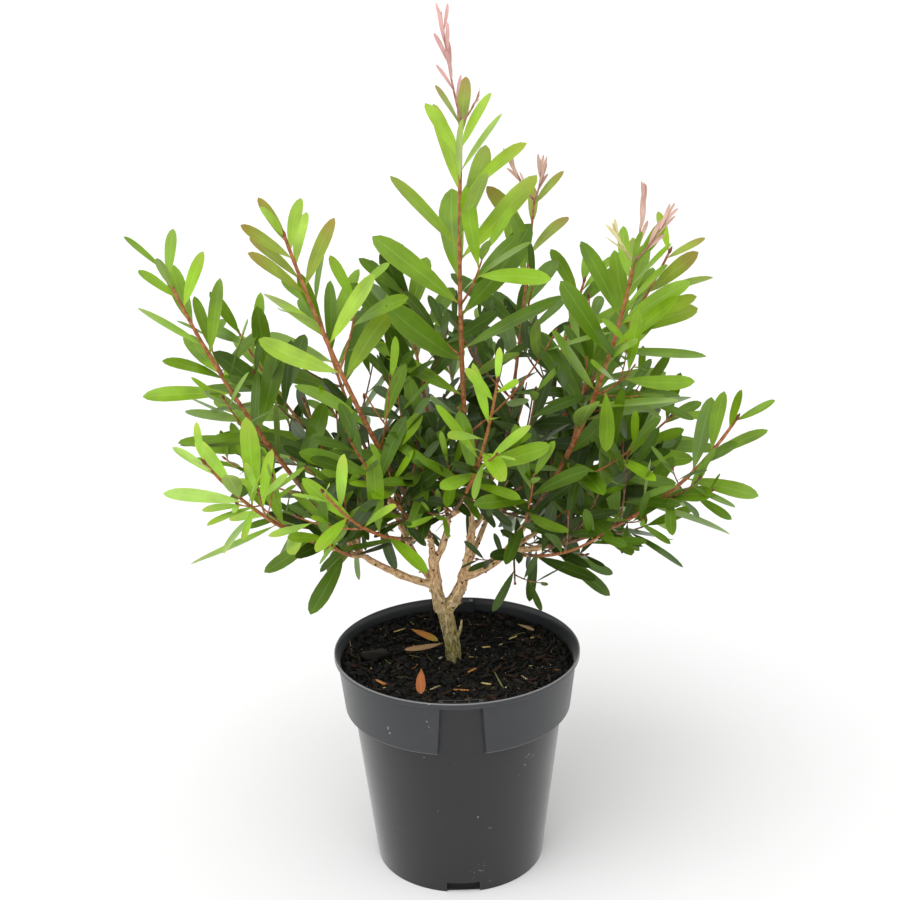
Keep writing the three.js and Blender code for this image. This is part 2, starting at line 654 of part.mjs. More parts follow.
const plant = new THREE.Group();
const bark = surface("#8f8161", 0.9);
const greens = { lime: "#9cd04a", fresh: "#6fae2f", mature: "#4f8a23" };
plant.add(meshOf("pot", potSolid(), surface("#48484b", 0.5)));
plant.add(meshOf("soil", soilSolid(), surface("#23211c", 1)));

limbs.forEach((limb, i) => {
  const earlier = limbs.slice(0, i).map((other) => limbSolid(other, GAP));
  plant.add(meshOf(limb.name, seated(limbSolid(limb), earlier), bark));
});

const limbSpace = wasm.Manifold.union(limbs.map((limb) => limbSolid(limb, GAP)));
shoots.forEach((shoot, i) => {
  const leafyTwigs = shoot.sideTwigs.filter((twig) => shoot.foliage.some((leaf) => leaf.bearer === twig));
  const parts = [
    ...[...shoot.wood, ...leafyTwigs].map((part) => part.solid()),
    ...shoot.foliage.map((leaf) => solidOf(leafGeometry(leaf))),
  ];
  const siblings = shoots.slice(0, i).filter((other) => other.bough === shoot.bough);
  const earlier = [limbSpace, ...siblings.map((other) => other.main.swollen())];
  const solid = seated(wasm.Manifold.union(parts), earlier);
  plant.add(meshOf(`foliage_${shoot.name}`, solid, surface(greens[shoot.green], 0.55)));
});

export default plant;
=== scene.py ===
# %% [markdown]
# # A young bottlebrush in its nursery pot
#
# The real thing is a woody shrub, three quarters of a metre tall, that grows out of dark potting mix in a
# round plastic pot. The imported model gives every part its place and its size. This lesson dresses that model:
# a moulded pot, crumbly soil, barked limbs, and about a thousand leaves that a growing rule lays out.
#
# All sizes in this lesson are millimetres, and each finished mesh is turned to metres once, at its end.

# %% The frame
import math
from collections import namedtuple

import bmesh
import bpy
import numpy as np
from mathutils import Matrix, Vector, kdtree, noise


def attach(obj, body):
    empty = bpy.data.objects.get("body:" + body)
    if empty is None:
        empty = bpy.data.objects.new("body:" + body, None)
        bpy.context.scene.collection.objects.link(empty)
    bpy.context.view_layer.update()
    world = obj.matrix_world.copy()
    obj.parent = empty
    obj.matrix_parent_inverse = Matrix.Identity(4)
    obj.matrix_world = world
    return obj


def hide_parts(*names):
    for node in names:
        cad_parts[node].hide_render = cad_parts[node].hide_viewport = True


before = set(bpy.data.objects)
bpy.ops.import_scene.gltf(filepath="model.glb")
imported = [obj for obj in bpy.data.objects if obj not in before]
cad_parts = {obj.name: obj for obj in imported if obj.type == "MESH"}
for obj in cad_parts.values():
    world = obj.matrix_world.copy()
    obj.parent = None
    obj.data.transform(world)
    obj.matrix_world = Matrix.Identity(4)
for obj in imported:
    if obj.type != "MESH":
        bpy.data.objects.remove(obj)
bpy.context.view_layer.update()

MM = 0.001
UP = Vector((0, 0, 1))
scene = bpy.context.scene
print("nodes to dress:", len(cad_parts))

# %% [markdown]
# ## Small tools
#
# A material is a graph of nodes, so one function adds a node, sets its properties and fills its inputs: with a
# number, with an sRGB hex colour as in any paint program, or with the output of another node. Blender's nodes
# want linear light, so one function turns the colours. The last tools take a mesh built in millimetres and make
# it a finished piece: at the origin, unturned and unscaled, riding on the part's one body. A pattern that reads
# Object coordinates then stays where it is.


# %% Tools for colours and nodes
def linear(hex_colour):
    """An sRGB hex value as linear red, green, blue and alpha."""
    shares = [int(hex_colour[i : i + 2], 16) / 255 for i in (1, 3, 5)]
    return [s / 12.92 if s <= 0.04045 else ((s + 0.055) / 1.055) ** 2.4 for s in shares] + [1.0]


def add(owner, kind, inputs=(), **properties):
    """Adds a shader node. An input takes a value, a hex colour, a socket, or a node for its first live output."""
    tree = owner.node_tree
    node = tree.nodes.new("ShaderNode" + kind)
    for name, value in properties.items():
        setattr(node, name, value)
    for name, value in dict(inputs).items():
        if isinstance(value, bpy.types.Node):
            value = next(output for output in value.outputs if output.enabled)
        if isinstance(value, bpy.types.NodeSocket):
            tree.links.new(value, node.inputs[name])
        else:
            node.inputs[name].default_value = linear(value) if isinstance(value, str) else value
    return node


def new_material(name):
    """A material with an empty graph."""
    material = bpy.data.materials.new(name)
    material.use_nodes = True
    material.node_tree.nodes.clear()
    return material


# %% Tools for objects and finished pieces
def placed(name, data):
    """A new object in the scene."""
    thing = bpy.data.objects.new(name, data)
    scene.collection.objects.link(thing)
    return thing


def settle(mesh, name, materials, replaced=()):
    """Makes a mesh in metres a piece of the plant: named, painted and riding on the root body."""
    mesh.name = name
    piece = placed(name, mesh)
    if len(mesh.materials) == 0:
        for material in materials:
            mesh.materials.append(material)
    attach(piece, "root")
    if replaced:
        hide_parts(*replaced)
    mesh.calc_loop_triangles()
    print(f"{name}: {len(mesh.loop_triangles)} triangles")
    return piece


def to_mesh(bm, name, unit=MM):
    """Turns a bmesh in millimetres into a mesh in metres, and frees the bmesh."""
    bmesh.ops.scale(bm, vec=(unit, unit, unit), verts=bm.verts)
    mesh = bpy.data.meshes.new(name)
    bm.to_mesh(mesh)
    bm.free()
    return mesh


# %% [markdown]
# ## The camera
#
# The camera stands 1.2 m in front, as high as the leader's tip, and looks down by 17.75 degrees, so the pot's
# mouth shows as an ellipse and the tip still has room. It is turned by a quarter of a degree and rolled by one.
# Its axes are worked out from those angles and become the columns of its matrix, which avoids any doubt about
# the order of rotations.

# %% Camera
EYE = Vector((2.3, -1200, 781.5))
PITCH, YAW, ROLL = 0.3098, -0.0043, -0.0197  # radians
FOCAL_LENGTH, SENSOR_WIDTH = 57.43, 36
SIGHT = 200  # metres that the camera sees, and that the floor runs out to every side

ahead = Vector((math.sin(YAW) * math.cos(PITCH), math.cos(YAW) * math.cos(PITCH), -math.sin(PITCH)))
level = Vector((math.cos(YAW), -math.sin(YAW), 0))
lifted = level.cross(ahead)
right = level * math.cos(ROLL) + lifted * math.sin(ROLL)
over = lifted * math.cos(ROLL) - level * math.sin(ROLL)

lens = bpy.data.cameras.new("camera")
lens.lens, lens.sensor_width, lens.clip_end = FOCAL_LENGTH, SENSOR_WIDTH, SIGHT
camera = placed("camera", lens)
camera.matrix_world = Matrix.Translation(EYE * MM) @ Matrix((right, over, -ahead)).transposed().to_4x4()
scene.camera = camera
print("camera looks down by", round(math.degrees(PITCH), 2), "degrees")

# %% [markdown]
# ## The studio
#
# A product shot of a plant is taken in a white tent: light comes softly from every side, and the floor runs out
# to white. The world is the tent: bright round the horizon, where its walls stand, brightest on the left and
# right, where the lamps stand outside it, and dimmer overhead. A sun with a very wide angle, above and in front,
# is a soft light that falls on the whole floor alike, so the floor stays white to its far edge, where an area
# light would fade. The Standard view keeps the greens as strong as they are mixed.


# %% Floor
def make_floor():
    bm = bmesh.new()
    bmesh.ops.create_grid(bm, x_segments=1, y_segments=1, size=SIGHT)
    mesh = to_mesh(bm, "floor", unit=1)
    paint = new_material("painted_studio_floor")
    matt = add(paint, "BsdfPrincipled", {"Base Color": "#fafafa", "Roughness": 0.9})
    add(paint, "OutputMaterial", {"Surface": matt})
    mesh.materials.append(paint)
    placed("floor", mesh)
    print("floor:", 2 * SIGHT, "m wide")


make_floor()


# %% World and sun
def make_tent():
    world = bpy.data.worlds.new("white_tent")
    world.use_nodes = True
    way = add(world, "SeparateXYZ", {0: add(world, "TexCoord").outputs["Generated"]})
    walls = add(world, "MapRange", {
        "Value": way.outputs["Z"], "From Min": 0.05, "From Max": 0.5, "To Min": 1.04, "To Max": 0.7,
    })
    broad = add(world, "Math", {0: way.outputs["X"]}, operation="ABSOLUTE")
    lamps = add(world, "MapRange", {"Value": broad, "From Min": 0.45, "From Max": 0.9, "To Min": 1, "To Max": 1.35})
    strength = add(world, "Math", {0: walls, 1: lamps}, operation="MULTIPLY")
    cloth = world.node_tree.nodes["Background"]
    cloth.inputs["Color"].default_value = (1, 1, 1, 1)
    world.node_tree.links.new(strength.outputs[0], cloth.inputs["Strength"])
    scene.world = world


def make_sun(name, come_from, spread, strength):
    lamp = bpy.data.lights.new(name, "SUN")
    lamp.angle = math.radians(spread)
    lamp.energy = strength
    holder = placed(name, lamp)
    holder.rotation_mode = "QUATERNION"
    holder.rotation_quaternion = (-Vector(come_from)).to_track_quat("-Z", "Y")


make_tent()
make_sun("roof_light", come_from=(-0.35, -0.5, 1.0), spread=60, strength=1.4)
scene.view_settings.view_transform = "Standard"
print("lights:", [o.name for o in scene.objects if o.type == "LIGHT"])

# %% [markdown]
# ## The pot's plastic
#
# Nursery pots are injection-moulded polypropylene, coloured dark grey all through. It is satin, not shiny: at a
# grazing angle the white tent shows in it and the body's sides turn pale, while its front stays dark. The body
# and the label panels are painted darker than the collar, as painted shade under the collar and in the recess,
# and the inner wall is a lighter grey. The edges get a pale painted highlight. Handling leaves small scuffs and
# specks, and two pale lines on the rim's upper edge and the step under the collar are painted highlights. So
# there are four finishes from one graph: a dark colour with a faint cloudiness, a fine grain in the bump, specks
# where a noise rises over a high threshold, and two painted highlight lines that follow the rings by height and
# radius.

# %% Moulded polypropylene
SCUFF, HIGHLIGHT_COLOUR = "#9b9a98", "#a4a4a6"
# The painted highlight rings on the rim's upper edge and the collar's step: the heights and the radii between which
# each sets in, and its strength.
HIGHLIGHT_RINGS = [((206.9, 207.7), (111.2, 111.9), 0.6), ((155.6, 154.6), (102.8, 103.5), 0.35)]


def plastic_material(name, dark, light, sheen=0.0):
    """Satin polypropylene: its sheen is what turns the curved sides pale."""
    material = new_material(name)
    where = add(material, "TexCoord").outputs["Object"]
    cloud = add(material, "TexNoise", {"Vector": where, "Scale": 1 / (45 * MM), "Detail": 3})
    shade = add(material, "Mix", {0: cloud, 6: dark, 7: light}, data_type="RGBA")
    specks = add(material, "TexNoise", {"Vector": where, "Scale": 1 / (3.2 * MM), "Detail": 1.5})
    patch = add(material, "TexNoise", {"Vector": where, "Scale": 1 / (30 * MM), "Detail": 2})
    both = add(material, "Math", {0: specks, 1: patch}, operation="MULTIPLY")
    scuffed = add(material, "MapRange", {"Value": both, "From Min": 0.45, "From Max": 0.51, "To Max": 0.45})
    colour = add(material, "Mix", {0: scuffed, 6: shade, 7: SCUFF}, data_type="RGBA")
    place = add(material, "SeparateXYZ", {0: where})
    flat = add(material, "CombineXYZ", {0: place.outputs["X"], 1: place.outputs["Y"]})
    radius = add(material, "VectorMath", {0: flat}, operation="LENGTH")
    # Two pale lines that follow the rings by height and radius: painted highlights.
    lines = []
    for (low, high), (inner, outer), strength in HIGHLIGHT_RINGS:
        rise = add(material, "MapRange", {
            "Value": place.outputs["Z"], "From Min": low * MM, "From Max": high * MM,
        })
        ring = add(material, "MapRange", {
            "Value": radius, "From Min": inner * MM, "From Max": outer * MM, "To Max": strength,
        })
        lines.append(add(material, "Math", {0: rise, 1: ring}, operation="MULTIPLY"))
    painted_highlight = add(material, "Math", {0: lines[0], 1: lines[1]}, operation="MAXIMUM")
    finish = add(material, "Mix", {0: painted_highlight, 6: colour, 7: HIGHLIGHT_COLOUR}, data_type="RGBA")
    grain = add(material, "TexNoise", {"Vector": where, "Scale": 1 / (0.9 * MM), "Detail": 2})
    relief = add(material, "Bump", {"Height": grain, "Strength": 0.12, "Distance": 0.2 * MM})
    matt = add(
        material, "MapRange", {"Value": cloud, "From Min": 0.3, "From Max": 0.7, "To Min": 0.30, "To Max": 0.38}
    )
    skin = add(material, "BsdfPrincipled", {
        "Base Color": finish, "Roughness": matt, "Normal": relief, "IOR": 1.49, "Sheen Weight": sheen,
        "Sheen Roughness": 0.35,
    })
    add(material, "OutputMaterial", {"Surface": skin})
    return material


plastics = [
    # The body: painted darker than the collar, as painted shade.
    plastic_material("moulded_body_painted_shade", "#131316", "#1a1a1e", 0.52),
    plastic_material("moulded_collar", "#28292c", "#323336", 0.04),
    # The inner wall: a lighter grey than the body.
    plastic_material("lighter_inner_wall", "#25282b", "#2f3235", 0.3),
    # Pale edges: a painted highlight.
    plastic_material("painted_edge_highlight", "#626267", "#76767b"),
]
SHADED_BODY, COLLAR, INSIDE, EDGE_HIGHLIGHT = range(4)
print("made", [m.name for m in plastics])

# %% [markdown]
# ## The pot's shell
#
# A pot like this is a thin tapered wall with a wider collar, on which the next pot in a stack rests, and a small
# rim. A profile spun round the axis makes all of that, and a bevel rounds its rings. The label panel is a
# stretch of the collar set back by 5 mm, with a slot above it for the grower's label: blocks of the collar's own
# curve are spun over part of a turn, cut to the panel's slanted sides, and joined to the shell or cut out of it.

# %% Sizes of the pot
HEIGHT, WALL, FLOOR_THICKNESS, RIM_WALL = 208.0, 1.5, 2.0, 1.6
BASE_RADIUS, WAIST_RADIUS = 78.5, 96.5
COLLAR_FOOT_RADIUS, COLLAR_HEAD_RADIUS, RIM_RADIUS = 104.0, 109.5, 112.5
WAIST, COLLAR_FOOT, COLLAR_HEAD, RIM_FOOT = 154.0, 154.5, 202.0, 203.5
SPIN_STEPS = 192
RING_ROUNDING, RING_BEND = 0.62, math.radians(20)
PANEL_TURNS = (1.5, 181.5)
PANEL_HEAD_WIDTH, PANEL_FOOT_WIDTH, PANEL_SET_BACK, PANEL_DRAFT = 33.0, 40.0, 5.0, 0.45
PANEL_HEAD, SLOT_ROOF, SLOT_DEPTH, SLOT_MARGIN = 201.0, 207.4, 3.2, 1.2
RIBS, RIB_WIDTH = (-5.0, 7.0), 1.2
BLOCK_REACH, BLOCK_STEPS = math.radians(24), 26
CLEAR = 1.0  # how far a cutting block reaches past what it cuts


def collar_radius(z, inset=0.0):
    """The collar's outer radius at a height, less an inset."""
    t = (z - COLLAR_FOOT) / (COLLAR_HEAD - COLLAR_FOOT)
    return COLLAR_FOOT_RADIUS + (COLLAR_HEAD_RADIUS - COLLAR_FOOT_RADIUS) * t - inset


def spun(profile, angle=math.tau, start=0.0, steps=SPIN_STEPS):
    """A solid of revolution from a closed profile of (radius, height) points."""
    bm = bmesh.new()
    turn = Matrix.Rotation(start, 3, "Z")
    corners = [bm.verts.new(turn @ Vector((0, -r, z))) for r, z in profile]
    closed = profile[0][0] > 0
    ends = corners[1:] + corners[:1] if closed else corners[1:]
    rim = [bm.edges.new(pair) for pair in zip(corners, ends)]
    whole = angle == math.tau
    bmesh.ops.spin(
        bm, geom=corners + rim, axis=(0, 0, 1), cent=(0, 0, 0), angle=angle, steps=steps, use_merge=whole
    )
    bmesh.ops.remove_doubles(bm, verts=bm.verts, dist=1e-4)
    if not whole:
        bmesh.ops.holes_fill(bm, edges=[e for e in bm.edges if e.is_boundary], sides=0)
    bmesh.ops.recalc_face_normals(bm, faces=bm.faces)
    return bm


def turned(bm, degrees):
    """The same bmesh, turned about the pot's axis."""
    bmesh.ops.rotate(bm, verts=bm.verts, cent=(0, 0, 0), matrix=Matrix.Rotation(math.radians(degrees), 3, "Z"))
    return bm


# %% The shell and its rounded rings
def ring_bend(edge):
    """How sharply the wall bends at an edge that runs round the pot, and 0 at any other edge."""
    a, b = (v.co for v in edge.verts)
    if abs(a.z - b.z) > 0.01 or a.xy.length < 1 or len(edge.link_faces) != 2:
        return 0
    return edge.calc_face_angle(0)


def shell_bmesh():
    bm = spun([
        (0, 0), (BASE_RADIUS, 0), (WAIST_RADIUS, WAIST), (COLLAR_FOOT_RADIUS, COLLAR_FOOT),
        (COLLAR_HEAD_RADIUS, COLLAR_HEAD), (RIM_RADIUS, RIM_FOOT), (RIM_RADIUS, HEIGHT),
        (RIM_RADIUS - RIM_WALL, HEIGHT), (COLLAR_HEAD_RADIUS - WALL, COLLAR_HEAD),
        (COLLAR_FOOT_RADIUS - WALL, COLLAR_FOOT + WALL), (WAIST_RADIUS - WALL, COLLAR_FOOT + WALL),
        (BASE_RADIUS - WALL, FLOOR_THICKNESS), (0, FLOOR_THICKNESS),
    ])
    rings = [e for e in bm.edges if ring_bend(e) > RING_BEND]
    bmesh.ops.bevel(
        bm, geom=rings, offset=RING_ROUNDING, offset_type="OFFSET", affect="EDGES", segments=3, profile=0.5,
        material=-1,
    )
    bmesh.ops.recalc_face_normals(bm, faces=bm.faces)
    return bm


# %% Blocks of the collar's curve for the label panel
def collar_block(inset, outset, foot, head, sides):
    """A block between two insets and two heights, cut by upright or slanted planes."""
    section = [
        (collar_radius(foot, inset), foot), (collar_radius(foot, outset), foot),
        (collar_radius(head, outset), head), (collar_radius(head, inset), head),
    ]
    bm = spun(section, 2 * BLOCK_REACH, -BLOCK_REACH, BLOCK_STEPS)
    for place, normal in sides:
        everything = bm.verts[:] + bm.edges[:] + bm.faces[:]
        cut = bmesh.ops.bisect_plane(
            bm, geom=everything, dist=1e-4, plane_co=place, plane_no=normal, clear_outer=True
        )
        opened = [e for e in cut["geom_cut"] if isinstance(e, bmesh.types.BMEdge)]
        bmesh.ops.holes_fill(bm, edges=opened, sides=0)
    bmesh.ops.recalc_face_normals(bm, faces=bm.faces)
    return bm


def panel_sides(margin, draft=0.0):
    """The panel's two slanted side planes, moved outwards by a margin and opening outwards by a draft."""
    half = PANEL_FOOT_WIDTH / 2
    lean = (PANEL_FOOT_WIDTH - PANEL_HEAD_WIDTH) / 2 / (HEIGHT - COLLAR_FOOT)
    depth = PANEL_SET_BACK - COLLAR_FOOT_RADIUS
    slope = lean + draft * (COLLAR_HEAD_RADIUS - COLLAR_FOOT_RADIUS) / (COLLAR_HEAD - COLLAR_FOOT)
    return [((sign * (half + margin), depth, COLLAR_FOOT), (sign, draft, slope)) for sign in (-1, 1)]


def panel_boss():
    """The wall behind the panel."""
    back = PANEL_SET_BACK + WALL
    return collar_block(back, WALL / 2, COLLAR_FOOT, SLOT_ROOF, panel_sides(WALL + CLEAR))


def panel_cuts():
    """What is cut away in front of the panel, and the slot in three parts with a rib between each two."""
    outside = -8.0
    cuts = [collar_block(PANEL_SET_BACK, outside, COLLAR_FOOT - CLEAR, PANEL_HEAD, panel_sides(0, PANEL_DRAFT))]
    ends = [-PANEL_FOOT_WIDTH, *[x + s * RIB_WIDTH / 2 for x in RIBS for s in (-1, 1)], PANEL_FOOT_WIDTH]
    for low, high in zip(ends[::2], ends[1::2]):
        between = [((low, 0, 0), (-1, 0, 0)), ((high, 0, 0), (1, 0, 0))]
        cuts.append(collar_block(
            PANEL_SET_BACK, PANEL_SET_BACK - SLOT_DEPTH, PANEL_HEAD - CLEAR, HEIGHT + CLEAR,
            [*panel_sides(-SLOT_MARGIN), *between],
        ))
    return cuts


# %% [markdown]
# ## Cutting and joining the pot
#
# The shell and its blocks are closed, so Boolean modifiers join and cut them cleanly. The notches at the foot let
# water out when the pot stands on a bench, and the floor has four round holes. A fine bevel then breaks the new
# edges, as the radius in a mould does, and its faces get a pale material as a painted highlight, the thin pale
# line of light that real plastic shows there.

# %% Notches and drain holes
NOTCH_SIZE, NOTCH_TURNS = (30, 7, 20), (1.5, 91.5, 181.5, 271.5)
HOLE_RADIUS, HOLE_RING, HOLE_TURNS = 6, 45, (46, 136, 226, 316)


def notch_box():
    bm = bmesh.new()
    bmesh.ops.create_cube(bm, size=1)
    bmesh.ops.scale(bm, vec=NOTCH_SIZE, verts=bm.verts)
    bmesh.ops.translate(bm, vec=(0, -BASE_RADIUS, 0), verts=bm.verts)
    return bm


def drain_hole():
    bm = bmesh.new()
    bmesh.ops.create_cone(
        bm, cap_ends=True, segments=40, radius1=HOLE_RADIUS, radius2=HOLE_RADIUS, depth=4 * FLOOR_THICKNESS
    )
    bmesh.ops.translate(bm, vec=(0, -HOLE_RING, 0), verts=bm.verts)
    return bm


# %% Carving
def baked(thing):
    """The mesh of an object with its modifiers applied, once the object itself is gone."""
    bpy.context.view_layer.update()
    mesh = bpy.data.meshes.new_from_object(thing.evaluated_get(bpy.context.evaluated_depsgraph_get()))
    bpy.data.objects.remove(thing)
    return mesh


def carve(base, joins, cuts):
    """The base mesh joined with some solids, then with others cut out of it."""
    holder = placed("carving", to_mesh(base, "carving"))
    tools = []
    for operation, solids in (("UNION", joins), ("DIFFERENCE", cuts)):
        for solid in solids:
            tools.append(placed("tool", to_mesh(solid, "tool")))
            step = holder.modifiers.new(operation, "BOOLEAN")
            step.operation, step.object, step.solver = operation, tools[-1], "EXACT"
    made = baked(holder)
    for tool in tools:
        bpy.data.objects.remove(tool)
    return made


# %% The finished pot
SHARP_ANGLE = math.radians(35)

pot_mesh = carve(
    shell_bmesh(),
    [turned(panel_boss(), turn) for turn in PANEL_TURNS],
    [turned(cut, turn) for turn in PANEL_TURNS for cut in panel_cuts()]
    + [turned(notch_box(), turn) for turn in NOTCH_TURNS]
    + [turned(drain_hole(), turn) for turn in HOLE_TURNS],
)
pot_mesh.materials.clear()
# The inner wall faces the axis, and a panel faces outwards but lies deeper than the collar round it; the panel
# takes the body's darker plastic as painted shade in its recess.
for face in pot_mesh.polygons:
    height, outward = face.center.z / MM, face.normal.xy.dot(face.center.xy.normalized())
    inner = outward < -0.5 and height > 0.9 * COLLAR_FOOT
    panel = outward > 0.9 and face.center.xy.length / MM < collar_radius(height, 3)
    face.material_index = INSIDE if inner else SHADED_BODY if panel or height < COLLAR_FOOT - 0.3 else COLLAR
pot = settle(pot_mesh, "nursery_pot", plastics, ["pot"])
rounding = pot.modifiers.new("mould_radius", "BEVEL")
# The bevel's faces take the pale edge material, a painted highlight.
rounding.width, rounding.segments, rounding.material = 0.35 * MM, 2, EDGE_HIGHLIGHT
rounding.limit_method, rounding.angle_limit = "ANGLE", SHARP_ANGLE
even = pot.modifiers.new("even_normals", "WEIGHTED_NORMAL")
even.keep_sharp, even.weight = True, 100
pot_mesh.shade_smooth()
pot_mesh.set_sharp_from_angle(angle=SHARP_ANGLE)

# %% [markdown]
# ## Potting mix
#
# The mix is peat, composted bark and fibre: nearly black where it is moist, with brown crumbs, straw-coloured
# shreds and a few pale grains. Seen from a metre away its crumbs cast shadows, so they have to be real shapes. A
# fine disc with several sizes of noise is the ground, and thousands of small lumps lie on it.

# %% Peat, bark, straw and grit
WET, DRY = 1.3, 1.45  # indices of refraction: a film of water dulls the gloss of what it covers


def rough_material(name, dark, light, grain, roughness, bump, ior=WET):
    """A natural stuff: two close colours, mottled at the size of its grain, with relief that keeps it matt."""
    material = new_material(name)
    where = add(material, "TexCoord").outputs["Object"]
    mottle = add(material, "TexNoise", {"Vector": where, "Scale": 1 / (grain * MM), "Detail": 5})
    spread = add(material, "MapRange", {"Value": mottle, "From Min": 0.35, "From Max": 0.65})
    colour = add(material, "Mix", {0: spread, 6: dark, 7: light}, data_type="RGBA")
    relief = add(material, "Bump", {"Height": mottle, "Strength": bump, "Distance": 0.2 * grain * MM})
    skin = {"Base Color": colour, "Roughness": roughness, "IOR": ior, "Normal": relief}
    add(material, "OutputMaterial", {"Surface": add(material, "BsdfPrincipled", skin)})
    return material


peat = rough_material("moist_peat", "#080807", "#181613", 2.2, 0.7, 0.8)
MIX = [
    rough_material("crumbs_black", "#060605", "#100f0e", 1.2, 0.6, 0.6),
    rough_material("crumbs_dark", "#090908", "#131210", 1.2, 0.65, 0.6),
    rough_material("crumbs_brown", "#120f0d", "#201a16", 1.2, 0.65, 0.6),
]
print("made", peat.name, "and", [m.name for m in MIX])

# %% Where the surface of the mix lies
SOIL_LEVEL, SOIL_EDGE_RISE, SOIL_RADIUS = 188.5, 7.0, 107
# The mix's lumps, from clods to crumbs: width, and height above or below the mean.
SOIL_LUMPS = ((22, 1.5), (8, 1.3), (3.2, 0.8))


def soil_height(x, y):
    """The mix is level round the trunk, banks up to the wall, most on the left, and is lumpy all over."""
    share = math.hypot(x, y) / SOIL_RADIUS
    bank = max(0.0, (share - 0.4) / 0.6)
    rise = SOIL_EDGE_RISE * bank * bank * (3 - 2 * bank) * (1 - 0.25 * x / SOIL_RADIUS)
    lumps = sum(height * noise.noise(Vector((x / size, y / size, size))) for size, height in SOIL_LUMPS)
    return SOIL_LEVEL + rise + lumps


# %% Room for the panels that stand into the mix
PANEL_GAP, PANEL_MARGIN = 0.6, 5  # how far the mix keeps behind a panel's wall and beyond its sides


def draw_in_behind_panels(vert):
    """Moves a corner of the mix inwards, where the panel's wall takes up its place."""
    if vert.co.z < COLLAR_FOOT:
        return
    for turn in PANEL_TURNS:
        seen = Matrix.Rotation(-math.radians(turn), 3, "Z") @ vert.co
        limit = collar_radius(vert.co.z, PANEL_SET_BACK + WALL + PANEL_GAP)
        if seen.y < 0 and abs(seen.x) < PANEL_FOOT_WIDTH / 2 + PANEL_MARGIN and vert.co.xy.length > limit:
            vert.co.xy = vert.co.xy.normalized() * limit


# %% The body of the mix
SURFACE_RINGS, SURFACE_STEPS, SOIL_GAP = 84, 360, 0.3


def soil_bmesh():
    foot, shoulder = FLOOR_THICKNESS + SOIL_GAP, COLLAR_FOOT + WALL + SOIL_GAP
    top = collar_radius(SOIL_LEVEL + SOIL_EDGE_RISE, WALL + SOIL_GAP)
    surface = [(top * (1 - i / SURFACE_RINGS), SOIL_LEVEL + SOIL_EDGE_RISE) for i in range(SURFACE_RINGS)]
    profile = [
        (0, foot), (BASE_RADIUS - WALL - SOIL_GAP, foot), (WAIST_RADIUS - WALL - SOIL_GAP, shoulder),
        (collar_radius(shoulder, WALL + SOIL_GAP), shoulder), *surface, (0, SOIL_LEVEL + SOIL_EDGE_RISE),
    ]
    bm = spun(profile, steps=SURFACE_STEPS)
    for vert in bm.verts:
        if vert.co.z > SOIL_LEVEL:
            vert.co.z = soil_height(vert.co.x, vert.co.y)
        draw_in_behind_panels(vert)
    return bm


soil_mesh = to_mesh(soil_bmesh(), "potting_mix")
soil_mesh.shade_smooth()
settle(soil_mesh, "potting_mix", [peat], ["soil"])

# %% [markdown]
# ## Copies in one mesh
#
# Crumbs and leaves are alike in this: one small template shape, repeated very often. The template is modelled
# once with bmesh operators. Its corners are then read as an array, moved to each place with array arithmetic,
# and joined in one mesh, which renders and exports much faster than thousands of objects would.

# %% Reading a template
Template = namedtuple("Template", "corners faces parts sharp places")


def chance(seed, k):
    """A repeatable number from 0 to 1."""
    s = math.sin(seed * 12.9898 + k * 78.233) * 43758.5453
    return s - math.floor(s)


def read_template(bm):
    """A template's corners, faces as corner numbers, material numbers, sharp edges and UV places."""
    bm.verts.index_update()
    layer = bm.loops.layers.uv.active
    template = Template(
        corners=np.array([v.co for v in bm.verts]),
        faces=[[v.index for v in f.verts] for f in bm.faces],
        parts=np.array([f.material_index for f in bm.faces]),
        sharp=[[v.index for v in e.verts] for e in bm.edges if not e.smooth],
        places=[tuple(loop[layer].uv) for f in bm.faces for loop in f.loops] if layer else [],
    )
    bm.free()
    return template


# %% Joining many copies
def joined_mesh(name, template, corners, parts):
    """One mesh of many copies. Corners is copies x template corners x 3, parts gives each face's material."""
    copies, per_copy = corners.shape[:2]
    flat = np.array([i for face in template.faces for i in face])
    starts = np.concatenate([[0], np.cumsum([len(face) for face in template.faces])[:-1]])
    copy = np.arange(copies)[:, None]
    mesh = bpy.data.meshes.new(name)
    mesh.vertices.add(copies * per_copy)
    mesh.vertices.foreach_set("co", (corners * MM).astype(np.float32).ravel())
    mesh.loops.add(copies * len(flat))
    mesh.loops.foreach_set("vertex_index", (flat + copy * per_copy).astype(np.int32).ravel())
    mesh.polygons.add(copies * len(template.faces))
    mesh.polygons.foreach_set("loop_start", (starts + copy * len(flat)).ravel())
    mesh.polygons.foreach_set("material_index", parts.astype(np.int32).ravel())
    mesh.update(calc_edges=True)
    mesh.validate()
    mesh.shade_smooth()
    if template.places:
        places = np.tile(np.array(template.places, dtype=np.float32).ravel(), copies)
        mesh.uv_layers.new(name="blade").data.foreach_set("uv", places)
    if template.sharp:
        mark_sharp(mesh, template.sharp, copies, per_copy)
    return mesh


def mark_sharp(mesh, sharp, copies, per_copy):
    """Marks the copies of a template's sharp edges, so that shading breaks there."""
    ends = np.empty(len(mesh.edges) * 2, dtype=np.int64)
    mesh.edges.foreach_get("vertices", ends)
    ends = np.sort(ends.reshape(-1, 2), axis=1)
    pairs = np.sort(np.array(sharp), axis=1)
    wanted = (pairs[None] + np.arange(copies)[:, None, None] * per_copy).reshape(-1, 2)
    size = copies * per_copy
    flags = np.isin(ends[:, 0] * size + ends[:, 1], wanted[:, 0] * size + wanted[:, 1])
    mesh.attributes.new("sharp_edge", "BOOLEAN", "EDGE").data.foreach_set("value", flags)


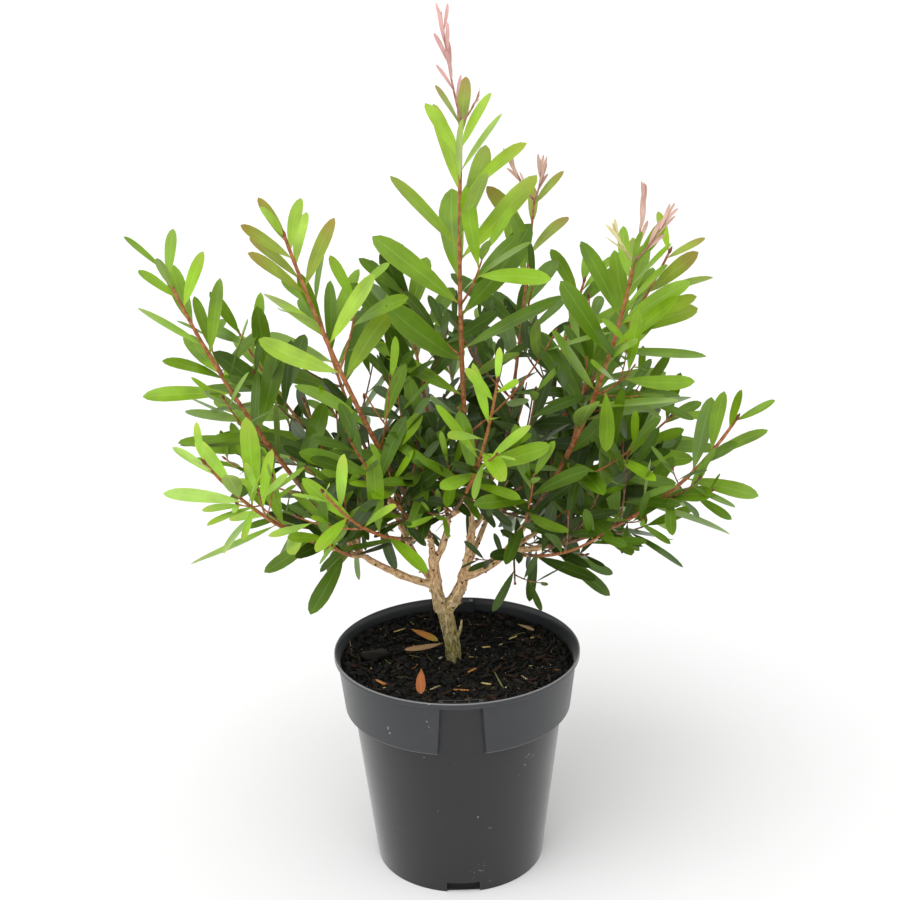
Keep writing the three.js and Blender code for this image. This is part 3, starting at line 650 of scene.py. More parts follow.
def settle_copies(name, template, corners, parts, materials, replaced=()):
    """Joins copies in one piece. Parts holds a material number for each copy, or for each face of each copy."""
    parts = np.array(parts)
    if parts.ndim == 1:
        parts = np.repeat(parts[:, None], len(template.faces), axis=1)
    settle(joined_mesh(name, template, corners, parts), name, materials, replaced)


# %% Standing copies on a surface
def stood_on(template, places, ways, sizes):
    """Copies of a template at places, their own z along the ways; sizes gives width, depth and length."""
    axes = np.array([Vector(way).to_track_quat("Z", "Y").to_matrix() for way in ways])
    scaled = template.corners[None] * np.array(sizes)[:, None]
    return np.einsum("nij,nvj->nvi", axes, scaled) + np.array(places)[:, None]


# %% Strewing copies over the mix
# The radii that copies keep within, at the wall and at a panel, and how far a panel counts to either side.
SCATTER_LIMIT, PANEL_LIMIT, PANEL_REACH = 106.4, 100.6, 26
COPY_REACH = 1.4  # how far a stretched and tipped copy reaches from its middle, in sizes


def turns(draw, count, tilt):
    """Random rotations: any heading, and tipped by up to a tilt in radians."""
    heading, tip, way = math.tau * draw.random(count), tilt * draw.random(count), math.tau * draw.random(count)
    return np.array([
        Matrix.Rotation(w, 3, "Z") @ Matrix.Rotation(t, 3, "X") @ Matrix.Rotation(h, 3, "Z")
        for h, t, w in zip(heading, tip, way)
    ])


def kept_inside(places, span):
    """Moves places towards the middle, as far as a copy of that size needs to clear the walls and panels."""
    room = COPY_REACH * span
    limit = SCATTER_LIMIT - room
    for turn in PANEL_TURNS:
        c, s = math.cos(math.radians(turn)), math.sin(math.radians(turn))
        across, back = places[:, 0] * c + places[:, 1] * s, places[:, 1] * c - places[:, 0] * s
        near = (np.abs(across) < PANEL_REACH) & (back < 0)
        limit = np.where(near, np.minimum(limit, PANEL_LIMIT - room), limit)
    return places * np.minimum(1, limit / np.hypot(*places.T))[:, None]


def strew(name, template, count, seed, size, shape, tilt, lift, materials, reach=106.0):
    """Strews copies evenly over the mix: sizes between two values, most of them small, shape stretches x, y, z."""
    draw = np.random.default_rng(seed)
    radius, angle = reach * np.sqrt(draw.random(count)), math.tau * draw.random(count)
    span = size[0] + (size[1] - size[0]) * draw.random(count) ** 2
    places = kept_inside(np.stack([radius * np.cos(angle), radius * np.sin(angle)], axis=1), span)
    stretch = np.array(shape) * (1 + 0.5 * (draw.random((count, 3)) - 0.5)) * span[:, None]
    corners = np.einsum("nij,nvj->nvi", turns(draw, count, tilt), template.corners[None] * stretch[:, None])
    heights = np.array([soil_height(x, y) for x, y in places]) + lift * stretch[:, 2]
    corners += np.concatenate([places, heights[:, None]], axis=1)[:, None]
    settle_copies(name, template, corners, draw.integers(0, len(materials), count), materials)


# %% Crumbs on the surface
def lump_template():
    bm = bmesh.new()
    bmesh.ops.create_icosphere(bm, subdivisions=1, radius=1)
    for i, vert in enumerate(bm.verts):
        vert.co *= 0.8 + 0.45 * chance(5, i)
    return read_template(bm)


lump = lump_template()
strew("crumbs_fine", lump, 4600, 11, (0.6, 1.9), (1, 1, 0.8), 1.5, 0.5, MIX[:2])
strew("crumbs_coarse", lump, 1050, 12, (1.5, 4.2), (1.2, 0.9, 0.7), 1.0, 0.45, MIX)

# %% [markdown]
# ## Dried splashes
#
# Watering throws a little mud on the pot, which dries to pale flakes. The crumbs' lump, pressed flat, is a flake:
# wide where a drop hit the wall, tall and narrow where it ran down.

# %% Dried splashes on the pot's wall
WALL_HEIGHTS = [0, WAIST, COLLAR_FOOT, COLLAR_HEAD, RIM_FOOT, HEIGHT]
WALL_RADII = [BASE_RADIUS, WAIST_RADIUS, COLLAR_FOOT_RADIUS, COLLAR_HEAD_RADIUS, RIM_RADIUS, RIM_RADIUS]
FLAKE_THICKNESS = 0.2
# A splash: degrees round the pot from its front, height, width, length.
SPLASHES = [
    (-12.5, 207.2, 3.4, 1.6), (-35.1, 173, 1.6, 4.4), (-34.4, 168.2, 2.2, 2.6), (10.4, 83, 2, 1.6),
    (-12.6, 90, 1.1, 0.9), (-55.7, 136, 1.5, 1), (66.9, 45, 0.8, 4.5), (17.9, 69, 4, 0.5), (-18.5, 146, 1.3, 1.1),
    (-41, 60, 0.9, 0.9), (35, 118, 0.8, 0.8), (112, 150, 1.6, 2.4), (150, 60, 2, 1.2), (205, 172, 1.4, 3),
    (248, 96, 1.8, 1.2), (285, 30, 1.2, 1),
]
spots, facing, sizes = [], [], []
for degrees, height, width, length in SPLASHES:
    outward = Vector((math.sin(math.radians(degrees)), -math.cos(math.radians(degrees)), 0))
    spots.append(outward * np.interp(height, WALL_HEIGHTS, WALL_RADII) + UP * height)
    facing.append(outward)
    sizes.append((width / 2, length / 2, FLAKE_THICKNESS))
mud = rough_material("dried_splash", "#77757a", "#a5a3a4", 1.0, 0.8, 0.3, DRY)
settle_copies("splashes", lump, stood_on(lump, spots, facing, sizes), [0] * len(spots), [mud])

# %% [markdown]
# ## Shreds, chips and grains
#
# Flat shreds of straw and bark lie between the crumbs, most of them dull brown, a few orange or yellow where they
# are fresh. A box cut once each way, bowed a little and with its corners pushed about, is enough for each, because
# few are longer than a fingernail. The pale grains of pumice and grit are the crumbs' lump once more, and root
# hairs and coir are the box drawn out to a fibre.

# %% Shreds and chips
SHREDS = [
    rough_material("shreds_black", "#0d0b09", "#1d1812", 1.5, 0.6, 0.4),
    rough_material("shreds_dark", "#13100e", "#231c15", 1.5, 0.65, 0.4),
    rough_material("shreds_brown", "#241b13", "#3f3020", 1.5, 0.7, 0.4),
    rough_material("shreds_red_brown", "#26160f", "#3d2417", 1.5, 0.65, 0.4),
]
FRESH = [
    rough_material("straw_orange", "#a8632a", "#d89a4f", 1.5, 0.6, 0.3, DRY),
    rough_material("straw_yellow", "#b79b55", "#e3d08c", 1.5, 0.6, 0.3, DRY),
    rough_material("bark_rust", "#7b3f1e", "#a9602f", 1.5, 0.7, 0.3, DRY),
    rough_material("straw_green", "#6d6a34", "#9b9a55", 1.5, 0.6, 0.3, DRY),
]
PALE = [
    rough_material("pumice", "#8d8a84", "#c9c5bd", 1.0, 0.9, 0.6, DRY),
    rough_material("grit_buff", "#8c7b55", "#cdbd8e", 1.0, 0.8, 0.5, DRY),
]
FIBRES = [SHREDS[2], FRESH[3], rough_material("fibre_buff", "#6f5f3c", "#9c8a5c", 1.5, 0.7, 0.3, DRY)]


def shred_template():
    bm = bmesh.new()
    bmesh.ops.create_cube(bm, size=2)
    bmesh.ops.subdivide_edges(bm, edges=bm.edges[:], cuts=1)
    for i, vert in enumerate(bm.verts):
        vert.co += Vector([0.5 * (chance(9, 3 * i + k) - 0.5) for k in range(3)])
        vert.co.z += 0.25 * vert.co.x * vert.co.x
    bmesh.ops.recalc_face_normals(bm, faces=bm.faces)
    return read_template(bm)


shred = shred_template()
strew("shreds_dull", shred, 560, 21, (1.2, 6.5), (1, 0.22, 0.12), 0.5, 3.0, SHREDS)
strew("shreds_fresh", shred, 110, 22, (0.5, 2.6), (1, 0.2, 0.12), 0.4, 6.5, FRESH, 98.0)
strew("grains_pale", lump, 170, 23, (0.3, 1.0), (1, 0.9, 0.7), 1.5, 2.0, PALE, 98.0)
strew("fibres", shred, 70, 24, (2.0, 5.5), (1, 0.035, 0.03), 0.6, 26.0, FIBRES, 100.0)

# %% [markdown]
# ## The growing rule
#
# A bottlebrush carries its leaves singly, each turned 137.5 degrees from the last, the golden angle that gives
# every leaf its own light. The rule here is the solids' own, with the same limbs, shoots, seeds and angles. The
# solids bear fewer than half of the leaves. The rule here goes on to all of them and to some finer twigs, and
# then lets about a fifth fall, as every plant loses some, so that light comes through the crown.

# %% Limbs
# Where a limb starts and ends, how far its middle is pushed down and outward, its radii, and its root flare.
Limb = namedtuple("Limb", "name start end sag foot tip flare")
LIMBS = [
    Limb("trunk", (-3, 12, 184), (-13, 14.5, 245), -2, 6.7, 7.2, 1),
    Limb("left_limb", (-14, 14, 238), (-20, 12, 291), 1, 6.4, 4.6, 0),
    Limb("right_limb", (-10.5, 14.5, 238), (8, 16, 274), 3, 6.4, 5, 0),
    Limb("left_outer_bough", (-20, 13, 264), (-83, -4, 301), 3, 3.8, 2.8, 0),
    Limb("left_upright_bough", (-20, 12, 288), (-22, 8, 314), 0, 3.2, 2.6, 0),
    Limb("left_leaning_bough", (-19, 12, 287), (-6, 12, 329), 3, 3.4, 2.6, 0),
    Limb("left_rear_bough", (-20, 14, 264), (-56, 74, 312), 4, 3.4, 2.4, 0),
    Limb("right_upright_bough", (7, 16, 270), (16, 20, 317), 1, 4.4, 3.6, 0),
    Limb("right_outer_bough", (6, 16, 270), (46, 8, 298), 3, 4.8, 4.2, 0),
    Limb("right_rear_bough", (15.5, 20, 314), (42, 48, 346), 2, 3, 2.2, 0),
    Limb("rear_bough", (4, 18, 268), (32, 80, 308), 4, 3.4, 2.4, 0),
]

# %% Shoots
# A shoot's bough, tip and sag, the solids' green, how many leaves and how long, the first leaf's turn, the seed,
# how many twigs, how stout it is, and how far down the ladder of greens its leaves start.
Shoot = namedtuple("Shoot", "name bough tip sag green leaves leaf turn seed twigs stout age")
SHOOTS = [
    Shoot("leader", "right_upright_bough", (12, 22, 677), 6, "fresh", 30, 88, 195, 61, 4, 1.4, 2.6),
    Shoot("left_tall", "left_upright_bough", (-135, -30, 595), 8, "fresh", 36, 75, 120, 222, 3, 1.35, 1.1),
    Shoot("far_left", "left_outer_bough", (-247, 20, 562), 14, "fresh", 26, 70, 347, 63, 4, 1.35, 3.2),
    Shoot("low_left", "left_outer_bough", (-203, -90, 420), 14, "lime", 20, 66, 315, 4, 3, 1.1, 0.7),
    Shoot("front_left", "left_upright_bough", (-104, -125, 405), 16, "lime", 11, 59, 0, 165, 2, 1.05, 1.1),
    Shoot("front_centre", "left_leaning_bough", (36, -115, 491), 16, "lime", 19, 53, 135, 286, 2, 1, 1.4),
    Shoot("right_tall", "right_outer_bough", (153, -18, 564), 16, "fresh", 34, 84, 180, 317, 4, 1.4, 3.1),
    Shoot("far_right", "right_outer_bough", (239, -45, 436), 30, "mature", 24, 69, 75, 258, 5, 1.25, 4.2),
    Shoot("right_rear_tall", "right_rear_bough", (197, 75, 557), 12, "fresh", 35, 71, 165, 229, 3, 1.1, 3.6),
    Shoot("rear_right_tip", "right_rear_bough", (77, 100, 600), 4, "fresh", 22, 72, 0, 110, 3, 1, 3.6),
    Shoot("rear_left_tip", "left_leaning_bough", (-43, 85, 531), 0, "mature", 22, 84, 225, 71, 4, 1, 4.2),
    Shoot("left_rear", "left_upright_bough", (-197, 95, 487), 20, "mature", 20, 80, 195, 42, 4, 1, 4.4),
    Shoot("left_inner", "left_outer_bough", (-134, 45, 433), 0, "mature", 7, 61, 135, 113, 3, 0.9, 5),
    Shoot("under_left", "left_outer_bough", (-109, -95, 356), 6, "mature", 8, 60, 330, 204, 2, 0.9, 4.6),
    Shoot("under_right", "right_outer_bough", (121, -95, 352), 10, "mature", 12, 56, 240, 45, 3, 0.9, 5.6),
    Shoot("right_inner", "right_outer_bough", (172, 60, 384), 8, "mature", 28, 74, 330, 356, 4, 0.95, 5),
    Shoot("centre_inner", "left_leaning_bough", (56, -60, 424), 6, "mature", 7, 53, 165, 77, 4, 0.9, 5.2),
    Shoot("left_middle", "left_upright_bough", (-86, -60, 427), 6, "mature", 11, 63, 60, 78, 4, 0.9, 4.4),
    Shoot("rear_left_tall", "left_rear_bough", (-131, 165, 499), 10, "mature", 26, 84, 120, 299, 4, 1.1, 4.6),
    Shoot("rear_far_left", "left_rear_bough", (-209, 130, 410), 16, "mature", 20, 80, 330, 180, 4, 1, 4.6),
    Shoot("rear_low_left", "left_rear_bough", (-127, 190, 307), 16, "mature", 26, 71, 45, 51, 4, 0.95, 5),
    Shoot("rear_right_tall", "rear_bough", (129, 165, 514), 10, "mature", 22, 84, 90, 82, 4, 1.1, 4.6),
    Shoot("rear_far_right", "rear_bough", (212, 130, 387), 16, "mature", 28, 80, 225, 273, 4, 1, 4.8),
    Shoot("rear_low_right", "rear_bough", (139, 190, 312), 16, "mature", 22, 80, 90, 84, 4, 0.95, 5.4),
    Shoot("rear_centre", "rear_bough", (-4, 210, 426), 10, "mature", 28, 84, 150, 335, 4, 1, 4.8),
]
# The young sprays that flush at a shoot's end: tip, leaf colour, spread of its leaves at foot and tip, length.
SPRAYS = {
    "leader": [((-3, 18, 765), "flush_pink", (26, 8), 26), ((27, 14, 702), "flush_rose", (14, 8), 9)],
    "right_tall": [
        ((158, -22, 616), "flush_rose", (11, 3), 28), ((179, -14, 598), "flush_rose", (12, 4), 26),
        ((139, -20, 588), "cream", (12, 6), 20),
    ],
    "rear_right_tip": [
        ((83, 104, 625), "flush_rose", (9, 3), 24), ((58, 104, 634), "flush_rose", (8, 3), 24),
    ],
}
# The shoots whose youngest leaves are flushed with bronze.
BRONZED = {"leader", "left_tall", "right_rear_tall", "rear_right_tip"}
shoot_named = {shoot.name: shoot for shoot in SHOOTS}
print(len(LIMBS), "limbs and", len(SHOOTS), "shoots")


# %% Lines that limbs, stems and twigs follow
class Line:
    """A line from one point to another, its middle pushed down and outward by a sag."""

    def __init__(self, start, end, sag):
        self.start, self.end = Vector(start), Vector(end)
        chord = (self.end - self.start).normalized()
        down = (chord * chord.dot(UP) - UP).normalized()
        self.control = self.start.lerp(self.end, 0.5) + down * (2 * sag)

    def point(self, t):
        return self.start.lerp(self.control, t).lerp(self.control.lerp(self.end, t), t)

    def way(self, t):
        return (self.start.lerp(self.control, t) - self.control.lerp(self.end, t)).normalized() * -1

    def length(self):
        points = [self.point(i / 32) for i in range(33)]
        return sum((b - a).length for a, b in zip(points, points[1:]))


def mix(a, b, t):
    return a + (b - a) * t


def branching(way, angle, spread):
    """The direction that leaves a stem at an angle round it and a spread from it."""
    side = Vector((0, 1, 0)).cross(way).normalized()
    other = way.cross(side)
    return (side * math.cos(angle) + other * math.sin(angle)) * math.sin(spread) + way * math.cos(spread)


limb_lines = {limb.name: Line(limb.start, limb.end, limb.sag) for limb in LIMBS}
main_lines = {shoot.name: Line(limb_lines[shoot.bough].end, shoot.tip, shoot.sag) for shoot in SHOOTS}
print("the longest shoot has", round(max(line.length() for line in main_lines.values())), "mm")

# %% Leaves along a stem
GOLDEN_ANGLE = math.radians(137.5)
LIGHT = Vector((-0.15, -0.6, 0.8)).normalized()
CROWDING = 0.9  # under 1, leaves stand closer towards the foot
# Each jitter is the full width of a random change: of angles in degrees, of sizes as a share.
SPREAD_JITTER, TURN_JITTER, ROLL_JITTER, LENGTH_JITTER, WIDTH_JITTER = 18, 28, 63, 0.2, 0.15
# A leaf's size at the foot, what is added where leaves are largest, and how much nearer the foot that is.
FOOT_SIZE, ADDED_SIZE, FULLEST = 0.78, 0.34, 1.15
SHORT_FROM, SHORT_BY = 0.8, 1.5  # where on the way to the tip leaves begin to shorten, and how fast
SLIMNESS = 0.225  # width for each millimetre of length
ROOT_OUT = 0.6  # how far from the stem's middle a leaf starts, in radii


def leaves_along(line, girth, count, plan):
    """The places of leaves along a stem: root, directions, size and share of the way to its tip."""
    made = []
    for i in range(count):
        share = ((i + 0.5) / count) ** CROWDING
        t = mix(plan["first"], 1, share)
        radius = mix(*girth, t)
        jitter = [chance(plan["seed"], 7 * i + feature) - 0.5 for feature in range(7)]
        spread = math.radians(mix(*plan["spread"], share) + SPREAD_JITTER * jitter[1])
        angle = plan["turn"] + i * GOLDEN_ANGLE + math.radians(TURN_JITTER) * jitter[3]
        fullness = FOOT_SIZE + ADDED_SIZE * math.sin(math.pi * min(1, FULLEST * share))
        shortening = 1 - SHORT_BY * max(0, share - SHORT_FROM)
        length = plan["leaf"] * fullness * shortening * (1 + LENGTH_JITTER * jitter[2])
        along = branching(line.way(t), angle, spread)
        face = (LIGHT - along * along.dot(LIGHT)).normalized()
        face.rotate(Matrix.Rotation(-math.radians(ROLL_JITTER) * jitter[5], 3, along))
        made.append({
            "root": line.point(t) + along * ROOT_OUT * radius, "along": along, "face": face, "length": length,
            "width": length * plan.get("slimness", SLIMNESS) * (1 + WIDTH_JITTER * jitter[4]),
            "share": share, "kind": plan["kind"], "shoot": plan["shoot"], "luck": jitter[6] + 0.5,
            "girth": radius, "stem": line.way(t), "mark": f"{plan['mark']}{i}",
            "form": [chance(plan["seed"] + 0.5, 3 * i + k) for k in range(3)],
        })
    return made


# %% Twigs on a stem
# Where the lowest twig stands, how much of the stem bears twigs, and how far each may shift, as shares of it.
LOWEST_TWIG, TWIG_RANGE, TWIG_SHIFT = 0.08, 0.5, 0.06
TWIG_SPREAD, TWIG_SPREAD_JITTER, TWIG_TURN_JITTER = 50, 20, 86  # degrees
# How far a twig turns up, the jitter of its reach, the mm added to that, and its sag as a share of it.
TWIG_LIFT, TWIG_JITTER, TWIG_EXTRA, TWIG_SAG = 0.25, 0.4, 12, 0.06


def twigs_on(bearer, count, turn, seed, size):
    """Side twigs in the leaves' own spiral: each its line, its reach, its angle and its seed.

    Size gives the reach of the lowest twig and the highest as shares of the stem's length.
    """
    length = bearer.length()
    made = []
    for k in range(count):
        share = k / max(1, count - 1)
        jitter = [chance(seed, 900 + 10 * feature + k) - 0.5 for feature in range(4)]
        t = LOWEST_TWIG + TWIG_RANGE * share + TWIG_SHIFT * jitter[0]
        angle = turn + k * GOLDEN_ANGLE + math.radians(TWIG_TURN_JITTER) * (jitter[1] + 0.5)
        spread = math.radians(TWIG_SPREAD + TWIG_SPREAD_JITTER * jitter[2])
        way = (branching(bearer.way(t), angle, spread) + UP * TWIG_LIFT).normalized()
        reach = length * mix(*size, share) * (1 + TWIG_JITTER * jitter[3]) + TWIG_EXTRA
        foot = bearer.point(t)
        line = Line(foot, foot + way * reach, TWIG_SAG * reach)
        made.append({"line": line, "reach": reach, "angle": angle, "seed": seed * 31 + k})
    return made


# %% Leaves that don't stay
# Leaves that have fallen, by their number on the shoot; 2.4 is leaf 4 of twig 2, y0.10 leaf 10 of spray 0.
FALLEN = {
    "low_left": "1 2 3 4 8 9 15 16 1.1 1.2 2.0",
    "front_left": "4 1.4",
    "front_centre": "1 10 12 15",
    "leader": "1 4 7 10 11 16 21 y0.10 0.7 0.8 0.10 0.11 0.12 1.1 1.4 1.5 1.6 1.9 1.10 2.4 3.0 3.2",
    "left_tall": "5 6 7 9 10 11 12 13 14 17 18 19 23 24 25 26 30 0.3 0.4 0.6 0.7 1.1 1.2 1.3 1.4 2.1 2.3",
    "far_left": "2 4 6 11 15 18 20 0.5 1.3 2.4 2.5 3.3",
    "right_tall": "5 8 9 17 18 20 23 24 29 3.1",
    "right_rear_tall": "0 3 5 14 16 18 28 29 30 31 32 0.5 0.7 1.1 1.3 2.1 2.3",
    "rear_right_tip": "3 4 5 7 8 10 12 13 18 20 0.4 0.5 0.6 0.7 0.8 1.3 2.1 2.2 2.3",
    "far_right": "2 7 11 13 14 20 21 2.3 4.1 4.2",
    "rear_left_tip": "5 6 10 11 14 19 1.4 2.3 3.0",
    "left_rear": "1 3 4 5 6 7 9 16 0.0 0.4 0.8 1.5 1.6 1.7 2.1 3.4",
    "left_inner": "4 6 0.2 0.3 2.2",
    "under_left": "4 5 0.0 1.1",
    "under_right": "3 4 6 7 8 0.2 0.3 0.4",
    "right_inner": "3 5 8 23 0.4",
    "centre_inner": "5",
    "left_middle": "1.0",
    "rear_left_tall": "4 6 9 10 13 19 23 1.1 1.2 1.3 1.4 2.0 2.1 2.3 3.0 3.1 3.3 3.4",
    "rear_far_left": "2 4 5 7 8 10 11 13 16 18 0.3 0.4 0.5 1.1 3.2 3.3",
    "rear_low_left": "6 15 17 20 1.0",
    "rear_right_tall": "6 8 9 14 16 17 1.4",
    "rear_far_right": "6 16 21 23 24 0.3 3.3",
    "rear_low_right": "2 7",
    "rear_centre": "7 12 14 16 18 19 21 1.3 3.1",
}
limb_balls = [
    (limb_lines[limb.name].point(i / 12), mix(limb.foot, limb.tip, i / 12)) for limb in LIMBS for i in range(13)
]


def touches_limb(leaf):
    """True where a leaf's midrib passes through a limb."""
    spots = [leaf["root"] + leaf["along"] * leaf["length"] * k for k in (0.3, 0.5, 0.7, 0.9)]
    return any((spot - ball).length < radius + 2.5 for spot in spots for ball, radius in limb_balls)


# %% Growing the crown
STEM_RADIUS = 1.9
# One digit for each twig: 0 where it bears no finer twigs, else the draw that places its two.
FINE_TWIGS = {
    "leader": "6000", "low_left": "005", "front_centre": "20", "right_tall": "0001", "far_right": "00092",
    "right_rear_tall": "020", "rear_right_tip": "050", "rear_left_tip": "4000", "under_right": "500",
    "right_inner": "7000", "left_middle": "0400", "rear_low_left": "5004", "rear_right_tall": "0006",
    "rear_centre": "3000",
}
stems, leaves = [], []


def grow(shoot):
    """Adds a shoot's stems and leaves to the crown: its main stem, its young sprays, its twigs and their own."""
    turn, foot, main = math.radians(shoot.turn), STEM_RADIUS * shoot.stout, main_lines[shoot.name]
    found = []

    def bear(line, radii, girth, kind, count, **plan):
        stems.append({"line": line, "radii": radii, "kind": kind, "shoot": shoot.name})
        plan = {"spread": (72, 32), "shoot": shoot.name, "kind": kind, **plan}
        found.extend(leaves_along(line, girth, count, plan))

    radii = (foot, foot * 0.55)
    bear(main, radii, radii, "main", shoot.leaves, first=0.16, turn=turn, seed=shoot.seed, leaf=shoot.leaf, mark="")
    for k, (top, tint, spread, leaf) in enumerate(SPRAYS.get(shoot.name, ())):
        line = Line(shoot.tip, top, 2)
        bear(
            line, (1.1, 0.5), (1.1, 0.5), tint, max(7, int(line.length() / 8)), first=0.14, turn=0,
            seed=57 * shoot.seed + k, leaf=leaf, slimness=0.14, spread=spread, mark=f"y{k}.",
        )
    draws = FINE_TWIGS.get(shoot.name, "0" * shoot.twigs)
    for k, (twig, draw) in enumerate(zip(twigs_on(main, shoot.twigs, turn, shoot.seed, (0.34, 0.22)), draws)):
        radii, count = (STEM_RADIUS * 0.55, STEM_RADIUS * 0.35), max(4, int(twig["reach"] / 11))
        bear(
            twig["line"], radii, (0.8, 0.8), "twig", count, first=0.15, turn=twig["angle"], seed=twig["seed"],
            leaf=shoot.leaf * 0.74, slimness=0.2, mark=f"{k}.",
        )
        if draw == "0":
            continue
        seed = 97 * twig["seed"] + int(draw)
        for m, small in enumerate(twigs_on(twig["line"], 2, twig["angle"] + 1, seed, (0.42, 0.34))):
            bear(
                small["line"], (0.7, 0.45), (0.6, 0.6), "twig", max(4, int(small["reach"] / 8)), first=0.2,
                turn=small["angle"], seed=small["seed"], leaf=shoot.leaf * 0.5, slimness=0.2, mark=f"{k}{'ab'[m]}",
            )
    bare = FALLEN.get(shoot.name, "").split()
    leaves.extend(leaf for leaf in found if leaf["mark"] not in bare and not touches_limb(leaf))


for shoot in SHOOTS:
    grow(shoot)
print(len(stems), "stems and twigs,", len(leaves), "leaves")

# %% [markdown]
# ## Leaf tissue
#
# The blades are leathery and hairless, with a satin skin. Young ones at the shoots' ends are yellow-green, on
# some shoots olive with a bronze tip, older ones inside the crown are deep green, and most are paler and duller
# underneath. Leaves deep in the crown go further down the ladder of greens, for their age and as painted shade.
# The midrib is only a fine paler line and the margin a finer one, so both are drawn by the blade's own UV map: U
# runs from stalk to tip and V from edge to edge. Each blade is one plain colour out of a short list, clouded by a
# noise a few leaves wide and streaked lengthwise, as veins do it.

# %% Leaf materials
RIB, MARGIN, STALK = "#f2f5c8", "#c8ac56", "#b9a35a"
SATIN, DULL = 0.36, 0.55


def towards(hex_colour, other, share):
    """A hex colour moved by a share towards another."""
    a, b = ([int(h[i : i + 2], 16) for i in (1, 3, 5)] for h in (hex_colour, other))
    return "#" + "".join(f"{round(p + (q - p) * share):02x}" for p, q in zip(a, b))


def leaf_material(name, colour, roughness, rib, tip=None):
    """A blade's satin skin, with a rib of its own strength and, for some, a tip of another colour."""
    material = new_material("leaf_" + name)
    where = add(material, "TexCoord").outputs["Object"]
    blade = add(material, "UVMap", uv_map="blade")
    place = add(material, "SeparateXYZ", {0: blade})
    along, across = place.outputs["X"], place.outputs["Y"]
    cloud = add(material, "TexNoise", {"Vector": where, "Scale": 1 / (30 * MM), "Detail": 3})
    veins = add(material, "Mapping", {"Vector": blade, "Scale": (4, 26, 1)})
    streaks = add(material, "TexNoise", {"Vector": veins, "Scale": 1, "Detail": 3})
    both = add(material, "Math", {0: streaks, 1: 0.45, 2: cloud}, operation="MULTIPLY_ADD")
    tone = add(
        material, "MapRange", {"Value": both, "From Min": 0.5, "From Max": 0.95, "To Min": 0.74, "To Max": 1.24}
    )
    body = add(material, "Mix", {0: 1, 6: colour, 7: tone}, data_type="RGBA", blend_type="MULTIPLY")
    middle = add(material, "Math", {0: across, 1: 0.5}, operation="SUBTRACT")
    apart = add(material, "Math", {0: middle}, operation="ABSOLUTE")
    line = add(
        material, "MapRange", {"Value": apart, "From Min": 0.012, "From Max": 0.045, "To Min": rib, "To Max": 0}
    )
    ribbed = add(material, "Mix", {0: line, 6: body, 7: towards(colour, RIB, 0.45)}, data_type="RGBA")
    rim = add(material, "MapRange", {"Value": apart, "From Min": 0.45, "From Max": 0.5, "To Max": 0.45})
    edged = add(material, "Mix", {0: rim, 6: ribbed, 7: towards(colour, MARGIN, 0.5)}, data_type="RGBA")
    foot = add(
        material, "MapRange", {"Value": along, "From Min": 0.03, "From Max": 0.13, "To Min": 0.6, "To Max": 0}
    )
    whole = add(material, "Mix", {0: foot, 6: edged, 7: towards(colour, STALK, 0.6)}, data_type="RGBA")
    if tip:
        end = add(material, "MapRange", {"Value": along, "From Min": 0.6, "From Max": 1, "To Max": 0.7})
        whole = add(material, "Mix", {0: end, 6: whole, 7: tip}, data_type="RGBA")
    relief = add(material, "Bump", {"Height": both, "Strength": 0.25, "Distance": 0.3 * MM})
    skin = {"Base Color": whole, "Roughness": roughness, "IOR": 1.43, "Normal": relief}
    add(material, "OutputMaterial", {"Surface": add(material, "BsdfPrincipled", skin)})
    return material


# %% The leaves' colours
BLADES = {
    "lime_pale": "#b4dc66", "lime": "#9bc93d", "fresh_light": "#8fbc22", "fresh": "#83ac16",
    "mature_light": "#74990f", "mature": "#60840b", "deep": "#4a6a0a", "shade": "#354e09",
    "olive_lime": "#a3c93e", "olive_light": "#95b924", "olive": "#86a81a", "bronze": "#92a536",
    "flush_pink": "#dfaca6", "flush_rose": "#d8b4a5", "cream": "#ddd29a",
}
BACKS = {"back_light": "#9bb64c", "back_fresh": "#7f9c3a", "back_dark": "#55722a"}
TIPS = {
    "lime": "#bccb48", "fresh_light": "#a5b83a", "olive_light": "#a3ab3a", "olive": "#8f9a2c",
    "bronze": "#a37c3c", "flush_rose": "#c79a89",
}
tissues = [leaf_material(name, colour, SATIN, 0.24, TIPS.get(name)) for name, colour in BLADES.items()]
tissues += [leaf_material(name, colour, DULL, 0.4) for name, colour in BACKS.items()]
tissue_numbers = {name: i for i, name in enumerate([*BLADES, *BACKS])}
print(len(tissues), "leaf materials")

# %% [markdown]
# ## One leaf
#
# The blade is a long narrow spoon shape: a thin stalk, widest past the middle, with a short blunt point. It is
# folded a little along the midrib and has real thickness, so it closes: a small grid is drawn in to the outline,
# copied for the underside, and the two are merged round the edge, which stays sharp.

# %% The leaf template
STATIONS = [0, 0.05, 0.12, 0.22, 0.35, 0.49, 0.63, 0.76, 0.87, 0.95, 1]
HALF_WIDTHS = [0.05, 0.055, 0.145, 0.275, 0.39, 0.455, 0.495, 0.485, 0.4, 0.255, 0.03]
FOLD, THICKNESS = 0.14, 0.028


